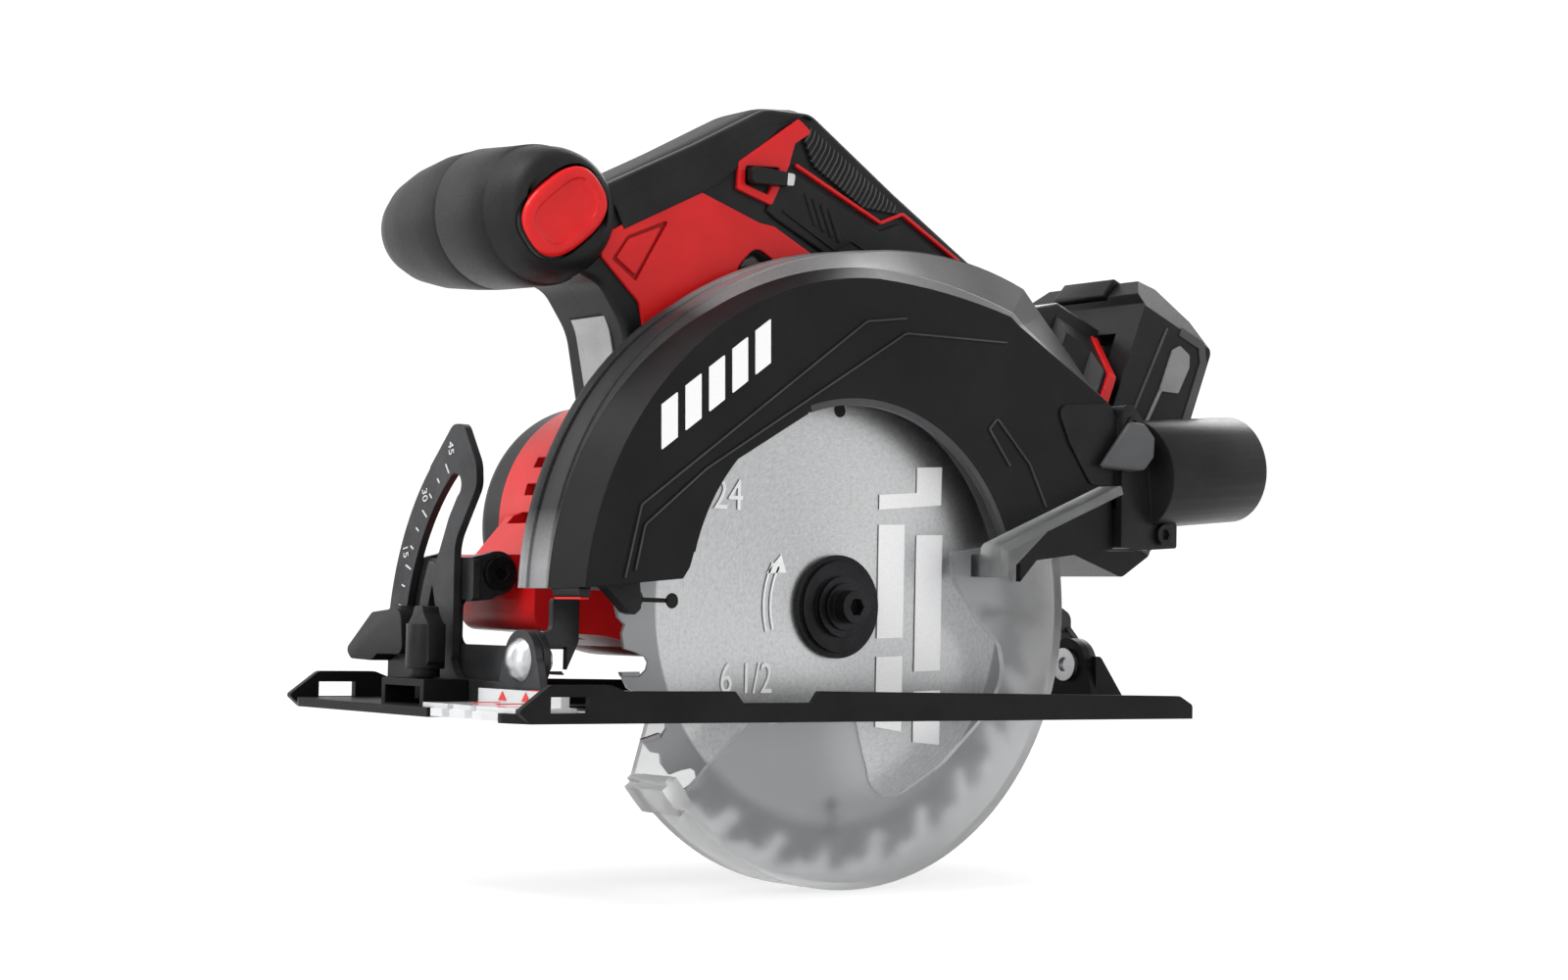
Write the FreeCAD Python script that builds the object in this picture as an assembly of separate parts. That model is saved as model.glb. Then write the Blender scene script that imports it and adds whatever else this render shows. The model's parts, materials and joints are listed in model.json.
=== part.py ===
import FreeCAD, Part
import math
import os

# Cordless circular saw with a 165 mm blade on the left of the motor.
# Frame: origin at the centre of the shoe's underside, +Z up, front of the saw towards -X,
# blade side towards -Y, motor side towards +Y. All sizes in millimetres.

# ---------------------------------------------------------------- driving dimensions
BLADE_R = 82.55          # 6 1/2 in blade
BLADE_Y = -43.0          # mid-plane of the blade
ARBOR_Z = 34.8           # arbor height over the shoe's underside, so the cut is 47.7 mm deep
TEETH = 24
KERF = 1.7
PLATE_T = 1.2            # blade plate

SHOE_L = 263.0
SHOE_W = 142.0
SHOE_T = 2.8
FLANGE_H = 10.8

BEVEL_Y, BEVEL_Z = -30.0, 17.0          # bevel axis, along X
DEPTH_X, DEPTH_Z = -94.4, 42.8          # depth axis, along Y
MODULE = 1.0
PINION_TEETH = 14
GEAR_TEETH = 56
MOTOR_ANGLE = 134.4                     # where the motor axis stands round the arbor, degrees
GEAR_DISTANCE = MODULE * (PINION_TEETH + GEAR_TEETH) / 2

GUARD_NEAR_Y, GUARD_FAR_Y = -57.0, -28.0
LOWER_R = 87.6                          # outside of the swinging guard's rim
HANDLE_MID_Y = -2.0
HANDLE_HALF = 17.5
SKIN = 1.3                              # how far the soft grip stands proud
WALL = 2.6

PACK_ORIGIN = (129.0, 116.0)            # point on the battery interface plane, in XZ
PACK_TILT = 22.0                        # lean of the pack from vertical, top to the rear
PACK_HALF = 32.0
PACK_TOP, PACK_BOTTOM, PACK_DEPTH = 43.2, -64.0, 39.0

FIT = 0.05                              # radial clearance of a running fit
GAP = 0.35                              # clearance between parts that move past each other

MOTOR_X = GEAR_DISTANCE * math.cos(math.radians(MOTOR_ANGLE))
MOTOR_Z = ARBOR_Z + GEAR_DISTANCE * math.sin(math.radians(MOTOR_ANGLE))
HANDLE_NEAR_Y = HANDLE_MID_Y - HANDLE_HALF
HANDLE_FAR_Y = HANDLE_MID_Y + HANDLE_HALF
PACK_NEAR_Y = HANDLE_MID_Y - PACK_HALF
PACK_FAR_Y = HANDLE_MID_Y + PACK_HALF
SHOE_X = SHOE_L / 2
SHOE_Y = SHOE_W / 2


# ---------------------------------------------------------------- small helpers
def vec(x, y, z):
    return FreeCAD.Vector(x, y, z)


def on_xz(y):
    return lambda u, v: vec(u, y, v)


def on_yz(x):
    return lambda u, v: vec(x, u, v)


def on_xy(z):
    return lambda u, v: vec(u, v, z)


def corner(before, point, after):
    """Tangent points and middle of the arc that rounds one corner of an outline."""
    px, py, radius = point
    back = (before[0] - px, before[1] - py)
    ahead = (after[0] - px, after[1] - py)
    len_back, len_ahead = math.hypot(*back), math.hypot(*ahead)
    back = (back[0] / len_back, back[1] / len_back)
    ahead = (ahead[0] / len_ahead, ahead[1] / len_ahead)
    half = math.acos(max(-1.0, min(1.0, back[0] * ahead[0] + back[1] * ahead[1]))) / 2
    run = min(radius / math.tan(half), 0.48 * len_back, 0.48 * len_ahead)
    radius = run * math.tan(half)
    bis = (back[0] + ahead[0], back[1] + ahead[1])
    length = math.hypot(*bis)
    reach = radius / math.sin(half) - radius
    return ((px + back[0] * run, py + back[1] * run),
            (px + bis[0] / length * reach, py + bis[1] / length * reach),
            (px + ahead[0] * run, py + ahead[1] * run))


def outline(points, place):
    """Closed wire through (u, v, radius) corners, each one rounded by a true arc."""
    full = [p if len(p) == 3 else (p[0], p[1], 0.0) for p in points]
    starts, ends, arcs = [], [], []
    for i, point in enumerate(full):
        if point[2] > 0:
            first, middle, last = corner(full[i - 1], point, full[(i + 1) % len(full)])
            arcs.append(Part.Arc(place(*first), place(*middle), place(*last)).toShape())
        else:
            first = last = (point[0], point[1])
            arcs.append(None)
        starts.append(first)
        ends.append(last)
    edges = []
    for i in range(len(full)):
        if arcs[i] is not None:
            edges.append(arcs[i])
        a, b = place(*ends[i]), place(*starts[(i + 1) % len(full)])
        if (a - b).Length > 1e-6:
            edges.append(Part.LineSegment(a, b).toShape())
    return Part.Wire(edges)


def prism_xz(points, y0, y1):
    return Part.Face(outline(points, on_xz(y0))).extrude(vec(0, y1 - y0, 0))


def prism_yz(points, x0, x1):
    return Part.Face(outline(points, on_yz(x0))).extrude(vec(x1 - x0, 0, 0))


def prism_xy(points, z0, z1):
    return Part.Face(outline(points, on_xy(z0))).extrude(vec(0, 0, z1 - z0))


def box(x0, x1, y0, y1, z0, z1):
    return Part.makeBox(x1 - x0, y1 - y0, z1 - z0, vec(x0, y0, z0))


def cyl_y(x, z, r, y0, y1):
    return Part.makeCylinder(r, y1 - y0, vec(x, y0, z), vec(0, 1, 0))


def cyl_x(y, z, r, x0, x1):
    return Part.makeCylinder(r, x1 - x0, vec(x0, y, z), vec(1, 0, 0))


def cyl_z(x, y, r, z0, z1):
    return Part.makeCylinder(r, z1 - z0, vec(x, y, z0), vec(0, 0, 1))


def ring_y(x, z, r_out, r_in, y0, y1):
    return cyl_y(x, z, r_out, y0, y1).cut(cyl_y(x, z, r_in, y0 - 1, y1 + 1))


def turned_y(x, z, steps):
    """Solid of revolution along Y from (radius, y0, y1) steps that share faces."""
    return join([cyl_y(x, z, r, y0, y1) for r, y0, y1 in steps])


def join(shapes):
    if len(shapes) == 1:
        return shapes[0]
    return shapes[0].fuse(shapes[1:]).removeSplitter()


def polar(cx, cz, r, degrees):
    a = math.radians(degrees)
    return cx + r * math.cos(a), cz + r * math.sin(a)


def sector_yz(r_in, r_out, a0, a1, x0, x1):
    """Piece of a ring round the bevel axis, with angles from +Y towards +Z."""
    def at(r, degrees):
        u, v = polar(BEVEL_Y, BEVEL_Z, r, degrees)
        return vec(x0, u, v)
    mid = (a0 + a1) / 2
    edges = [Part.Arc(at(r_out, a0), at(r_out, mid), at(r_out, a1)).toShape(),
             Part.LineSegment(at(r_out, a1), at(r_in, a1)).toShape(),
             Part.Arc(at(r_in, a1), at(r_in, mid), at(r_in, a0)).toShape(),
             Part.LineSegment(at(r_in, a0), at(r_out, a0)).toShape()]
    return Part.Face(Part.Wire(edges)).extrude(vec(x1 - x0, 0, 0))


def arc_slot_yz(r_mid, width, a0, a1, x0, x1):
    ends = [polar(BEVEL_Y, BEVEL_Z, r_mid, a) for a in (a0, a1)]
    return join([sector_yz(r_mid - width / 2, r_mid + width / 2, a0, a1, x0, x1)]
                + [cyl_x(u, v, width / 2, x0, x1) for u, v in ends])


def sector_xz(cx, cz, r_in, r_out, a0, a1, y0, y1):
    """Piece of a ring round any Y axis, with angles from +X towards +Z."""
    def at(r, degrees):
        u, v = polar(cx, cz, r, degrees)
        return vec(u, y0, v)
    mid = (a0 + a1) / 2
    edges = [Part.Arc(at(r_out, a0), at(r_out, mid), at(r_out, a1)).toShape(),
             Part.LineSegment(at(r_out, a1), at(r_in, a1)).toShape(),
             Part.Arc(at(r_in, a1), at(r_in, mid), at(r_in, a0)).toShape(),
             Part.LineSegment(at(r_in, a0), at(r_out, a0)).toShape()]
    return Part.Face(Part.Wire(edges)).extrude(vec(0, y1 - y0, 0))


def arc_slot_xz(cx, cz, r_mid, width, a0, a1, y0, y1):
    ends = [polar(cx, cz, r_mid, a) for a in (a0, a1)]
    return join([sector_xz(cx, cz, r_mid - width / 2, r_mid + width / 2, a0, a1, y0, y1)]
                + [cyl_y(u, v, width / 2, y0, y1) for u, v in ends])


def hex_prism(centre, axis, across, length):
    """Hexagonal prism that starts at centre and runs along axis."""
    r = across / math.sqrt(3)
    corners = [vec(r * math.cos(math.radians(60 * i)), r * math.sin(math.radians(60 * i)), 0)
               for i in range(7)]
    solid = Part.Face(Part.makePolygon(corners)).extrude(vec(0, 0, length))
    solid.Placement = FreeCAD.Placement(centre, FreeCAD.Rotation(vec(0, 0, 1), axis))
    return solid


def screw(head, axis, head_r, head_h, shank_r, shank_l):
    """Socket screw whose head's seat is at head and whose shank runs along axis."""
    back = vec(0, 0, 0) - axis
    seat_top = head + back * head_h
    body = Part.makeCylinder(head_r, head_h, head, back)
    shank = Part.makeCylinder(shank_r, shank_l, head, axis)
    socket = hex_prism(seat_top, axis, head_r, head_h * 0.6)
    return join([body, shank]).cut(socket)


def rim_edges(solid, y):
    """Edges of a prism that lie in the plane at this y."""
    return [e for e in solid.Edges
            if all(abs(v.Point.y - y) < 1e-4 for v in e.Vertexes) and
            abs(e.valueAt((e.FirstParameter + e.LastParameter) / 2).y - y) < 1e-4]


def pack_point(up, out):
    """XZ point from distances along the tilted battery plane (up) and away from it (out)."""
    s, c = math.sin(math.radians(PACK_TILT)), math.cos(math.radians(PACK_TILT))
    return (PACK_ORIGIN[0] + s * up + c * out, PACK_ORIGIN[1] + c * up - s * out)


def pack_prism(profile, y0, y1):
    """Prism across Y from a profile of (up, out) or (up, out, radius) in the pack's frame."""
    points = [pack_point(p[0], p[1]) + tuple(p[2:]) for p in profile]
    return prism_xz(points, y0, y1)


def pack_extrude(points, up0, up1):
    """Prism along the pack's height from (out, y) corners."""
    def place(out, y, up):
        x, z = pack_point(up, out)
        return vec(x, y, z)
    start = [place(out, y, up0) for out, y in points]
    run = place(0, 0, up1) - place(0, 0, up0)
    return Part.Face(Part.makePolygon(start + start[:1])).extrude(run)


def tilted_block(up0, up1, out0, out1, y0, y1):
    return pack_prism([(up0, out0), (up1, out0), (up1, out1), (up0, out1)], y0, y1)


def export(name, shape):
    if not shape.isValid():
        print("NOT VALID", name)
    shape.exportStep("parts/" + name + ".step")
    box_ = shape.BoundBox
    print("%-26s solids %2d  vol %9.1f  x %.1f..%.1f y %.1f..%.1f z %.1f..%.1f" % (
        name, len(shape.Solids), shape.Volume, box_.XMin, box_.XMax,
        box_.YMin, box_.YMax, box_.ZMin, box_.ZMax))


# ---------------------------------------------------------------- the shoe and what is fixed to it
SLOT_X0, SLOT_X1, SLOT_Y0, SLOT_Y1 = -88.0, 92.0, -56.0, -11.0
WINDOW_X0, WINDOW_X1, WINDOW_Z0, WINDOW_Z1 = -121.0, -108.0, 3.0, 7.6
QUAD_X0, QUAD_X1 = -106.5, -104.0
CLAMP_R = 66.5                # radius of the bevel clamp bolt round the bevel axis
CLAMP_ANGLE = 7.0
BEVEL_TRAVEL = 45.0
QUAD_R = 81.0
PIN_R = 4.0
EAR_R = 9.0
REAR_EAR_X0, REAR_EAR_X1 = 112.0, 114.6
FENCE_SCREW_X, FENCE_SCREW_Y = -114.5, 12.0
WING_REACH = 7.0              # half width of the fence screw's wing, clear of the quadrant


def side_flange(y0, y1, notch):
    """Upturned edge of the shoe: raised front ear with the fence window, long low rail."""
    low, ear = FLANGE_H - 1.6, FLANGE_H + 0.2
    top = [(-SHOE_X + 4, 0), (SHOE_X, 0), (SHOE_X, 4.6, 1.5), (SHOE_X - 6, 7.6, 4)]
    if notch:
        top += [(-26, low, 1), (-28.5, 5.8, 1), (-54.5, 5.8, 1), (-57.5, low, 1)]
    top += [(-96, low, 4), (-101, ear, 4), (-121, ear, 3), (-SHOE_X, 3.4, 1)]
    rail = prism_xz(top, y0, y1)
    return rail.cut(box(WINDOW_X0, WINDOW_X1, y0 - 1, y1 + 1, WINDOW_Z0, WINDOW_Z1))


def shoe():
    chamfer = 9.0
    plate = prism_xy([(-SHOE_X, -SHOE_Y + chamfer, 2), (-SHOE_X + 4, -SHOE_Y, 2), (SHOE_X, -SHOE_Y, 4),
                      (SHOE_X, SHOE_Y, 4), (-SHOE_X + 4, SHOE_Y, 2), (-SHOE_X, SHOE_Y - chamfer, 2)],
                     0, SHOE_T)
    slot = prism_xy([(SLOT_X0, SLOT_Y0, 4), (SLOT_X1, SLOT_Y0, 4), (SLOT_X1, SLOT_Y1, 4),
                     (SLOT_X0, SLOT_Y1, 4)], -1, SHOE_T + 1)
    sight = prism_xy([(-SHOE_X - 1, -60), (-99, -60), (-99, -20), (-SHOE_X - 1, -20)], -1, SHOE_T + 1)
    body = plate.cut(slot).cut(sight)
    rails = [side_flange(-SHOE_Y, -SHOE_Y + 2.5, True), side_flange(SHOE_Y - 2.5, SHOE_Y, False)]
    ribs = [prism_yz([(y - 7, SHOE_T - 0.2), (y + 7, SHOE_T - 0.2), (y + 4.5, 5.4, 2), (y - 4.5, 5.4, 2)],
                     -84, 100) for y in (12, 46)]
    x, y, half = FENCE_SCREW_X, FENCE_SCREW_Y, 7.6
    bridge = join([box(x - half, x + half, y - 13, y + 13, 8.2, 10.4)]
                  + [box(x - half, x + half, y + side, y + side + 2.2, SHOE_T - 0.2, 9) for side in (-13,
                          10.8)])
    solid = join([body] + rails + ribs + [bridge])
    return solid.cut(cyl_z(x, y, 2.9 + FIT, 7, 12))


def ear_yz(x0, x1, half_base):
    """Upright ear round the bevel axis, on the shoe."""
    top = BEVEL_Z + 3
    flank = prism_yz([(BEVEL_Y - half_base - 5, SHOE_T), (BEVEL_Y + half_base + 5, SHOE_T),
                      (BEVEL_Y + EAR_R - 0.4, top, 6), (BEVEL_Y - EAR_R + 0.4, top, 6)], x0, x1)
    return join([flank, cyl_x(BEVEL_Y, BEVEL_Z, EAR_R, x0, x1)])


def bevel_quadrant():
    """Plate with the bevel arc at one end, the front bevel ear at the other."""
    arc = sector_yz(CLAMP_R - 9, QUAD_R, 6, 56, QUAD_X0, QUAD_X1)
    leg = prism_yz([(9.4, 12, 8), (9.9, 52, 12), (-2.6, 69, 6), (-2.0, 76, 8), (6.4, 88.4, 4),
                    (12.6, 88.6, 5),
                    (26.0, 76.0), (34, 60), (36, 48), (27, 52), (20, 30), (24, 12)], QUAD_X0, QUAD_X1)
    foot = prism_yz([(BEVEL_Y - 4, SHOE_T), (50, SHOE_T), (50, 26, 2), (12, 20), (7, 10.5, 7),
                     (BEVEL_Y - 4, 10)], QUAD_X0, QUAD_X1)
    plate = join([arc, leg, foot, ear_yz(QUAD_X0, QUAD_X1, EAR_R)])
    slot = arc_slot_yz(CLAMP_R, 7.6, CLAMP_ANGLE - 0.4, CLAMP_ANGLE + BEVEL_TRAVEL + 0.4, QUAD_X0 - 1,
                       QUAD_X1 + 1)
    window = prism_yz([(21.8, 44.5, 2), (27, 47, 2), (19.5, 63), (10.6, 69.8), (6.8, 69.0, 1.5),
                       (13.8, 59.8, 10)],
                      QUAD_X0 - 1, QUAD_X1 + 1)
    tab_rows = (-5, 40)
    tabs = [box(QUAD_X1 - 0.2, QUAD_X1 + 14, y - 8, y + 8, SHOE_T, SHOE_T + 2.2) for y in tab_rows]
    plate = plate.cut(slot).cut(window).cut(cyl_x(BEVEL_Y, BEVEL_Z, PIN_R, QUAD_X0 - 1, QUAD_X1 + 1))
    plate = join([plate] + tabs)
    for y in tab_rows:
        plate = plate.cut(cyl_z(QUAD_X1 + 8, y, 2.5, 0, 8))
    return plate


def rear_bevel_lug():
    gusset = prism_xz([(REAR_EAR_X1 - 0.2, SHOE_T), (REAR_EAR_X1 + 14, SHOE_T), (REAR_EAR_X1 + 14, 4.6),
                       (REAR_EAR_X1 + 2, 20, 3), (REAR_EAR_X1 - 0.2, 20)], BEVEL_Y - 12, BEVEL_Y - 9.6)
    foot = box(REAR_EAR_X1 - 0.2, REAR_EAR_X1 + 14, BEVEL_Y - 12, BEVEL_Y + 16, SHOE_T, SHOE_T + 2.2)
    solid = join([ear_yz(REAR_EAR_X0, REAR_EAR_X1, EAR_R), gusset, foot])
    solid = solid.cut(cyl_x(BEVEL_Y, BEVEL_Z, PIN_R, REAR_EAR_X0 - 1, REAR_EAR_X1 + 1))
    for y in (BEVEL_Y - 4, BEVEL_Y + 10):
        solid = solid.cut(cyl_z(REAR_EAR_X1 + 9.5, y, 2.5, 0, 8))
    return solid


def shoe_rivets():
    spots = [(QUAD_X1 + 8, -5), (QUAD_X1 + 8, 40),
             (REAR_EAR_X1 + 9.5, BEVEL_Y - 4), (REAR_EAR_X1 + 9.5, BEVEL_Y + 10)]
    heads = []
    for x, y in spots:
        top = SHOE_T + 2.2
        ball = Part.makeSphere(4.6, vec(x, y, top - 2.6))
        dome = ball.common(box(x - 6, x + 6, y - 6, y + 6, top, top + 4))
        heads.append(join([dome, cyl_z(x, y, 2.5, SHOE_T, top)]))
    return Part.makeCompound(heads)


def bevel_pins():
    """Riveted pins that carry the bevel swing, front and rear, with domed heads forward."""
    front = join([cyl_x(BEVEL_Y, BEVEL_Z, PIN_R, QUAD_X0, -97.5),
                  Part.makeSphere(7.4, vec(QUAD_X0 + 3.4, BEVEL_Y, BEVEL_Z)).common(
                      cyl_x(BEVEL_Y, BEVEL_Z, 6.6, QUAD_X0 - 5, QUAD_X0))])
    rear = join([cyl_x(BEVEL_Y, BEVEL_Z, PIN_R, REAR_EAR_X0, 119.5),
                 cyl_x(BEVEL_Y, BEVEL_Z, 5.6, REAR_EAR_X0 - 1.6, REAR_EAR_X0)])
    rear = rear.cut(cyl_x(BEVEL_Y, BEVEL_Z, 2.4, REAR_EAR_X0 - 2, REAR_EAR_X0 - 0.6))
    return Part.makeCompound([front, rear])


def cut_line_insert():
    """Clear window ahead of the blade, with the two sight notches for 0 and 45 degrees."""
    base = prism_xy([(-SHOE_X + 0.5, -59.6, 1), (-99.3, -59.6, 1), (-99.3, -20.4, 1),
                     (-SHOE_X + 0.5, -20.4, 1)], 0.4, SHOE_T)
    ledge = prism_xy([(-SHOE_X + 2, -66), (-109.2, -66), (-109.2, -14), (-SHOE_X + 2, -14)],
                     SHOE_T, SHOE_T + 1.4)
    wall = box(-112, -109.2, -62, -16, SHOE_T, 8.4)
    solid = join([base, ledge, wall])
    for y in (BLADE_Y, -30.0):
        solid = solid.cut(prism_xy([(-SHOE_X - 1, y - 2.4), (-SHOE_X + 9, y), (-SHOE_X - 1, y + 2.4)], -1,
                                   12))
    return solid


def fence_screw():
    """Wing screw that clamps a rip fence in the shoe's front windows."""
    x, y = FENCE_SCREW_X, FENCE_SCREW_Y
    reach = WING_REACH
    wing = prism_yz([(y - reach, 14.6, 1.5), (y + reach, 14.6, 1.5), (y + reach - 0.5, 26.5, 3),
                     (y + 3.2, 30, 2),
                     (y + 2.4, 32.4, 1), (y - 2.4, 32.4, 1), (y - 3.2, 30, 2), (y - reach + 0.5, 26.5, 3)],
                    x - 2.8, x + 2.8)
    hub = cyl_z(x, y, 6.0, 13.4, 27)
    return join([wing, hub, cyl_z(x, y, 2.9, 4.2, 14), cyl_z(x, y, 4.6, 10.4 + GAP, 13.6)])


# ---------------------------------------------------------------- parts that tilt for a bevel
TILT_X0, TILT_X1 = -103.6, -101.2
LUG_Y0, LUG_Y1 = 7.0, 34.0
EAR_T = 2.6
ARC_R = 182.5
ARC_Y0, ARC_Y1 = -26.0, -23.6
ARC_BOLT_ANGLE = 4.0
DEPTH_TRAVEL = 24.0


def tilt_bracket():
    """Pressed channel: front plate with a bevel ear, two ears back to the depth pin."""
    plate = prism_yz([(BEVEL_Y + 4, 8.6, 2), (47, 8.6, 4), (47, 47.5, 5), (3, 47.5, 2), (3, 34.6, 1),
                      (12.6, 34.6, 3), (12.6, 21, 3), (BEVEL_Y + 4, 21, 2)], TILT_X0, TILT_X1)
    boss = cyl_x(BEVEL_Y, BEVEL_Z, EAR_R, TILT_X0, TILT_X1)
    clamp = polar(BEVEL_Y, BEVEL_Z, CLAMP_R, CLAMP_ANGLE)
    ears = []
    for y0 in (LUG_Y0 - GAP - EAR_T, LUG_Y1 + GAP):
        arm = prism_xz([(TILT_X0, 34), (DEPTH_X + 1, 35.2, 4), (DEPTH_X + 1, 50, 4), (TILT_X0, 47.5)],
                       y0, y0 + EAR_T)
        ears.append(join([arm, cyl_y(DEPTH_X, DEPTH_Z, 6.9, y0, y0 + EAR_T)]))
    stay = prism_xz([(TILT_X1 - 0.2, 13), (TILT_X1 - 0.2, 24), (-95.3, 26, 2), (-95.3, 35.4, 1),
                     (-86, 35.4, 1),
                     (-86, 22.5, 3), (-90.8, 12.6, 1)], BEVEL_Y + 0.2, BEVEL_Y + 2.4)
    solid = join([plate, boss, stay] + ears)
    solid = solid.cut(cyl_x(BEVEL_Y, BEVEL_Z, PIN_R + FIT, TILT_X0 - 1, -90))
    solid = solid.cut(cyl_x(clamp[0], clamp[1], 3.0, TILT_X0 - 1, TILT_X1 + 1))
    return solid.cut(cyl_y(DEPTH_X, DEPTH_Z, 3.0, -20, 60))


def depth_pin():
    head = LUG_Y0 - GAP - EAR_T
    tail = LUG_Y1 + GAP + EAR_T
    pin = turned_y(DEPTH_X, DEPTH_Z, [(3.0, head, tail), (5.2, head - 2.4, head), (5.0, tail, tail + 2)])
    return pin.cut(hex_prism(vec(DEPTH_X, head - 2.5, DEPTH_Z), vec(0, 1, 0), 4.0, 2.0))


def bevel_clamp_bolt():
    y, z = polar(BEVEL_Y, BEVEL_Z, CLAMP_R, CLAMP_ANGLE)
    return join([cyl_x(y, z, 3.0, -112.8, TILT_X1), cyl_x(y, z, 5.4, TILT_X1, TILT_X1 + 3)])


def bevel_lever():
    """Clamp lever for the bevel: hub on the clamp bolt, bent paddle out to the right side."""
    y, z = polar(BEVEL_Y, BEVEL_Z, CLAMP_R, CLAMP_ANGLE)
    hub = cyl_x(y, z, 7.4, -112.0, QUAD_X0 - GAP)
    paddle = prism_yz([(y - 9.4, z - 7.8, 3), (y + 6.9, z - 7.9, 2), (y + 10.5, z - 10.1, 2),
                       (y + 24, z - 9.8, 3),
                       (y + 27.6, z - 6.9, 2.5), (y + 10.8, z + 5.1, 4), (y - 7.6, z + 6.7, 4)], -114.4,
                       -107.4)
    return join([hub, paddle]).cut(cyl_x(y, z, 3.0 + FIT, -113.2, -100))


def rear_tilt_bracket():
    """Depth arc: rear bevel ear, side plate and the slotted arc round the depth pin."""
    x0 = REAR_EAR_X1 + GAP
    ear = join([cyl_x(BEVEL_Y, BEVEL_Z, EAR_R, x0, x0 + EAR_T),
                prism_yz([(BEVEL_Y, BEVEL_Z - EAR_R), (ARC_Y1, BEVEL_Z - 8), (ARC_Y1, 32), (BEVEL_Y, 26)],
                         x0, x0 + EAR_T)])
    side = prism_xz([(94, 28.0, 6), (x0, 28.0), (x0, 9.0), (x0 + EAR_T, 9.0), (x0 + EAR_T, 34, 4),
                     (97, 45, 3), (84, 45)],
                    ARC_Y0, ARC_Y1)
    arc = sector_xz(DEPTH_X, DEPTH_Z, ARC_R - 8, ARC_R + 8, -7.5, ARC_BOLT_ANGLE + DEPTH_TRAVEL + 3, ARC_Y0,
                    ARC_Y1)
    slot = arc_slot_xz(DEPTH_X, DEPTH_Z, ARC_R, 6.8, ARC_BOLT_ANGLE - 0.6,
                       ARC_BOLT_ANGLE + DEPTH_TRAVEL + 0.6,
                       ARC_Y0 - 1, ARC_Y1 + 1)
    solid = join([ear, side, arc]).cut(slot)
    return solid.cut(cyl_x(BEVEL_Y, BEVEL_Z, PIN_R + FIT, x0 - 1, x0 + 4))


# ---------------------------------------------------------------- blade, spindle and gears
def tooth_outline():
    """One tooth pitch of the blade, as (degrees behind the tip, radius)."""
    return [(0.0, 82.2), (2.7, 81.3), (4.3, 78.9), (6.2, 80.2), (9.4, 79.9), (10.7, 76.0),
            (12.3, 72.9), (13.8, 72.2), (15.3, 73.3), (16.3, 76.4)]


FIRST_TIP = 180.6


def blade():
    pitch = 360.0 / TEETH
    points = []
    for k in range(TEETH):
        for back, radius in tooth_outline():
            points.append(polar(0, ARBOR_Z, radius, FIRST_TIP + k * pitch + back))
    y0, y1 = BLADE_Y - PLATE_T / 2, BLADE_Y + PLATE_T / 2
    disc = prism_xz(points, y0, y1).cut(cyl_y(0, ARBOR_Z, 15.88 / 2, y0 - 1, y1 + 1))
    cuts = []
    for k in range(4):
        a = FIRST_TIP - 1.2 + 90 * k
        hole = polar(0, ARBOR_Z, 62.0, a)
        cuts.append(cyl_y(hole[0], hole[1], 2.3, y0 - 1, y1 + 1))
        slot = box(62, 78, y0 - 1, y1 + 1, -0.65, 0.65)
        slot.rotate(vec(0, 0, 0), vec(0, -1, 0), a)
        slot.translate(vec(0, 0, ARBOR_Z))
        cuts.append(slot)
    return disc.cut(cuts)


def carbide_tips():
    pitch = 360.0 / TEETH
    tips = []
    for k in range(TEETH):
        a = FIRST_TIP + k * pitch
        corners = [polar(0, ARBOR_Z, r, a + d) for d, r in
                   ((-1.0, BLADE_R), (0.0, 82.3), (1.25, 76.6), (0.2, 76.0))]
        tips.append(prism_xz(corners, BLADE_Y - KERF / 2, BLADE_Y + KERF / 2))
    return Part.makeCompound([t.cut(blade_body) for t in tips])


def spindle():
    """Shaft turned in one with the inner blade flange."""
    steps = [(6.0, -47.5, -5.6), (7.6, -37.2, -35.4), (16.0, -42.4, -40.0), (11.0, -40.0, -37.3),
             (7.9, -43.6, -42.4)]
    return turned_y(0, ARBOR_Z, steps).cut(cyl_y(0, ARBOR_Z, 3.0, -48, -30))


def outer_flange():
    body = turned_y(0, ARBOR_Z, [(16.2, -45.4, -43.6), (14.4, -46.6, -45.4), (9.6, -48.6, -46.6)])
    return body.cut(cyl_y(0, ARBOR_Z, 6.0 + FIT, -47.6, -40)).cut(cyl_y(0, ARBOR_Z, 3.0, -50, -46))


def arbor_bolt():
    washer = cyl_y(0, ARBOR_Z, 7.4, -49.8, -48.6)
    head = cyl_y(0, ARBOR_Z, 5.2, -55.0, -49.8)
    shank = cyl_y(0, ARBOR_Z, 3.0, -49.8, -34)
    return join([washer, head, shank]).cut(hex_prism(vec(0, -55.1, ARBOR_Z), vec(0, 1, 0), 5.0, 3.6))


def spur(x, z, teeth, phase, y0, y1, bore):
    """Spur gear with trapezoid teeth, a little thinner than half the pitch for backlash."""
    pitch = 360.0 / teeth
    r_pitch = MODULE * teeth / 2
    r_tip, r_root = r_pitch + 0.8 * MODULE, r_pitch - 1.1 * MODULE
    points = []
    for k in range(teeth):
        a = phase + k * pitch
        for offset, radius in ((-0.25, r_root), (-0.09, r_tip), (0.09, r_tip), (0.25, r_root)):
            points.append(polar(x, z, radius, a + offset * pitch))
    return prism_xz(points, y0, y1).cut(cyl_y(x, z, bore, y0 - 1, y1 + 1))


def driven_gear():
    """A tooth gap of this gear faces the motor, where the pinion has a tooth."""
    gear = spur(0, ARBOR_Z, GEAR_TEETH, MOTOR_ANGLE + 180.0 / GEAR_TEETH, -22, -12, 6.0)
    web = [cyl_y(*polar(0, ARBOR_Z, 18.5, 60 * k), 4.0, -23, -11) for k in range(6)]
    return gear.cut(web)


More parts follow.
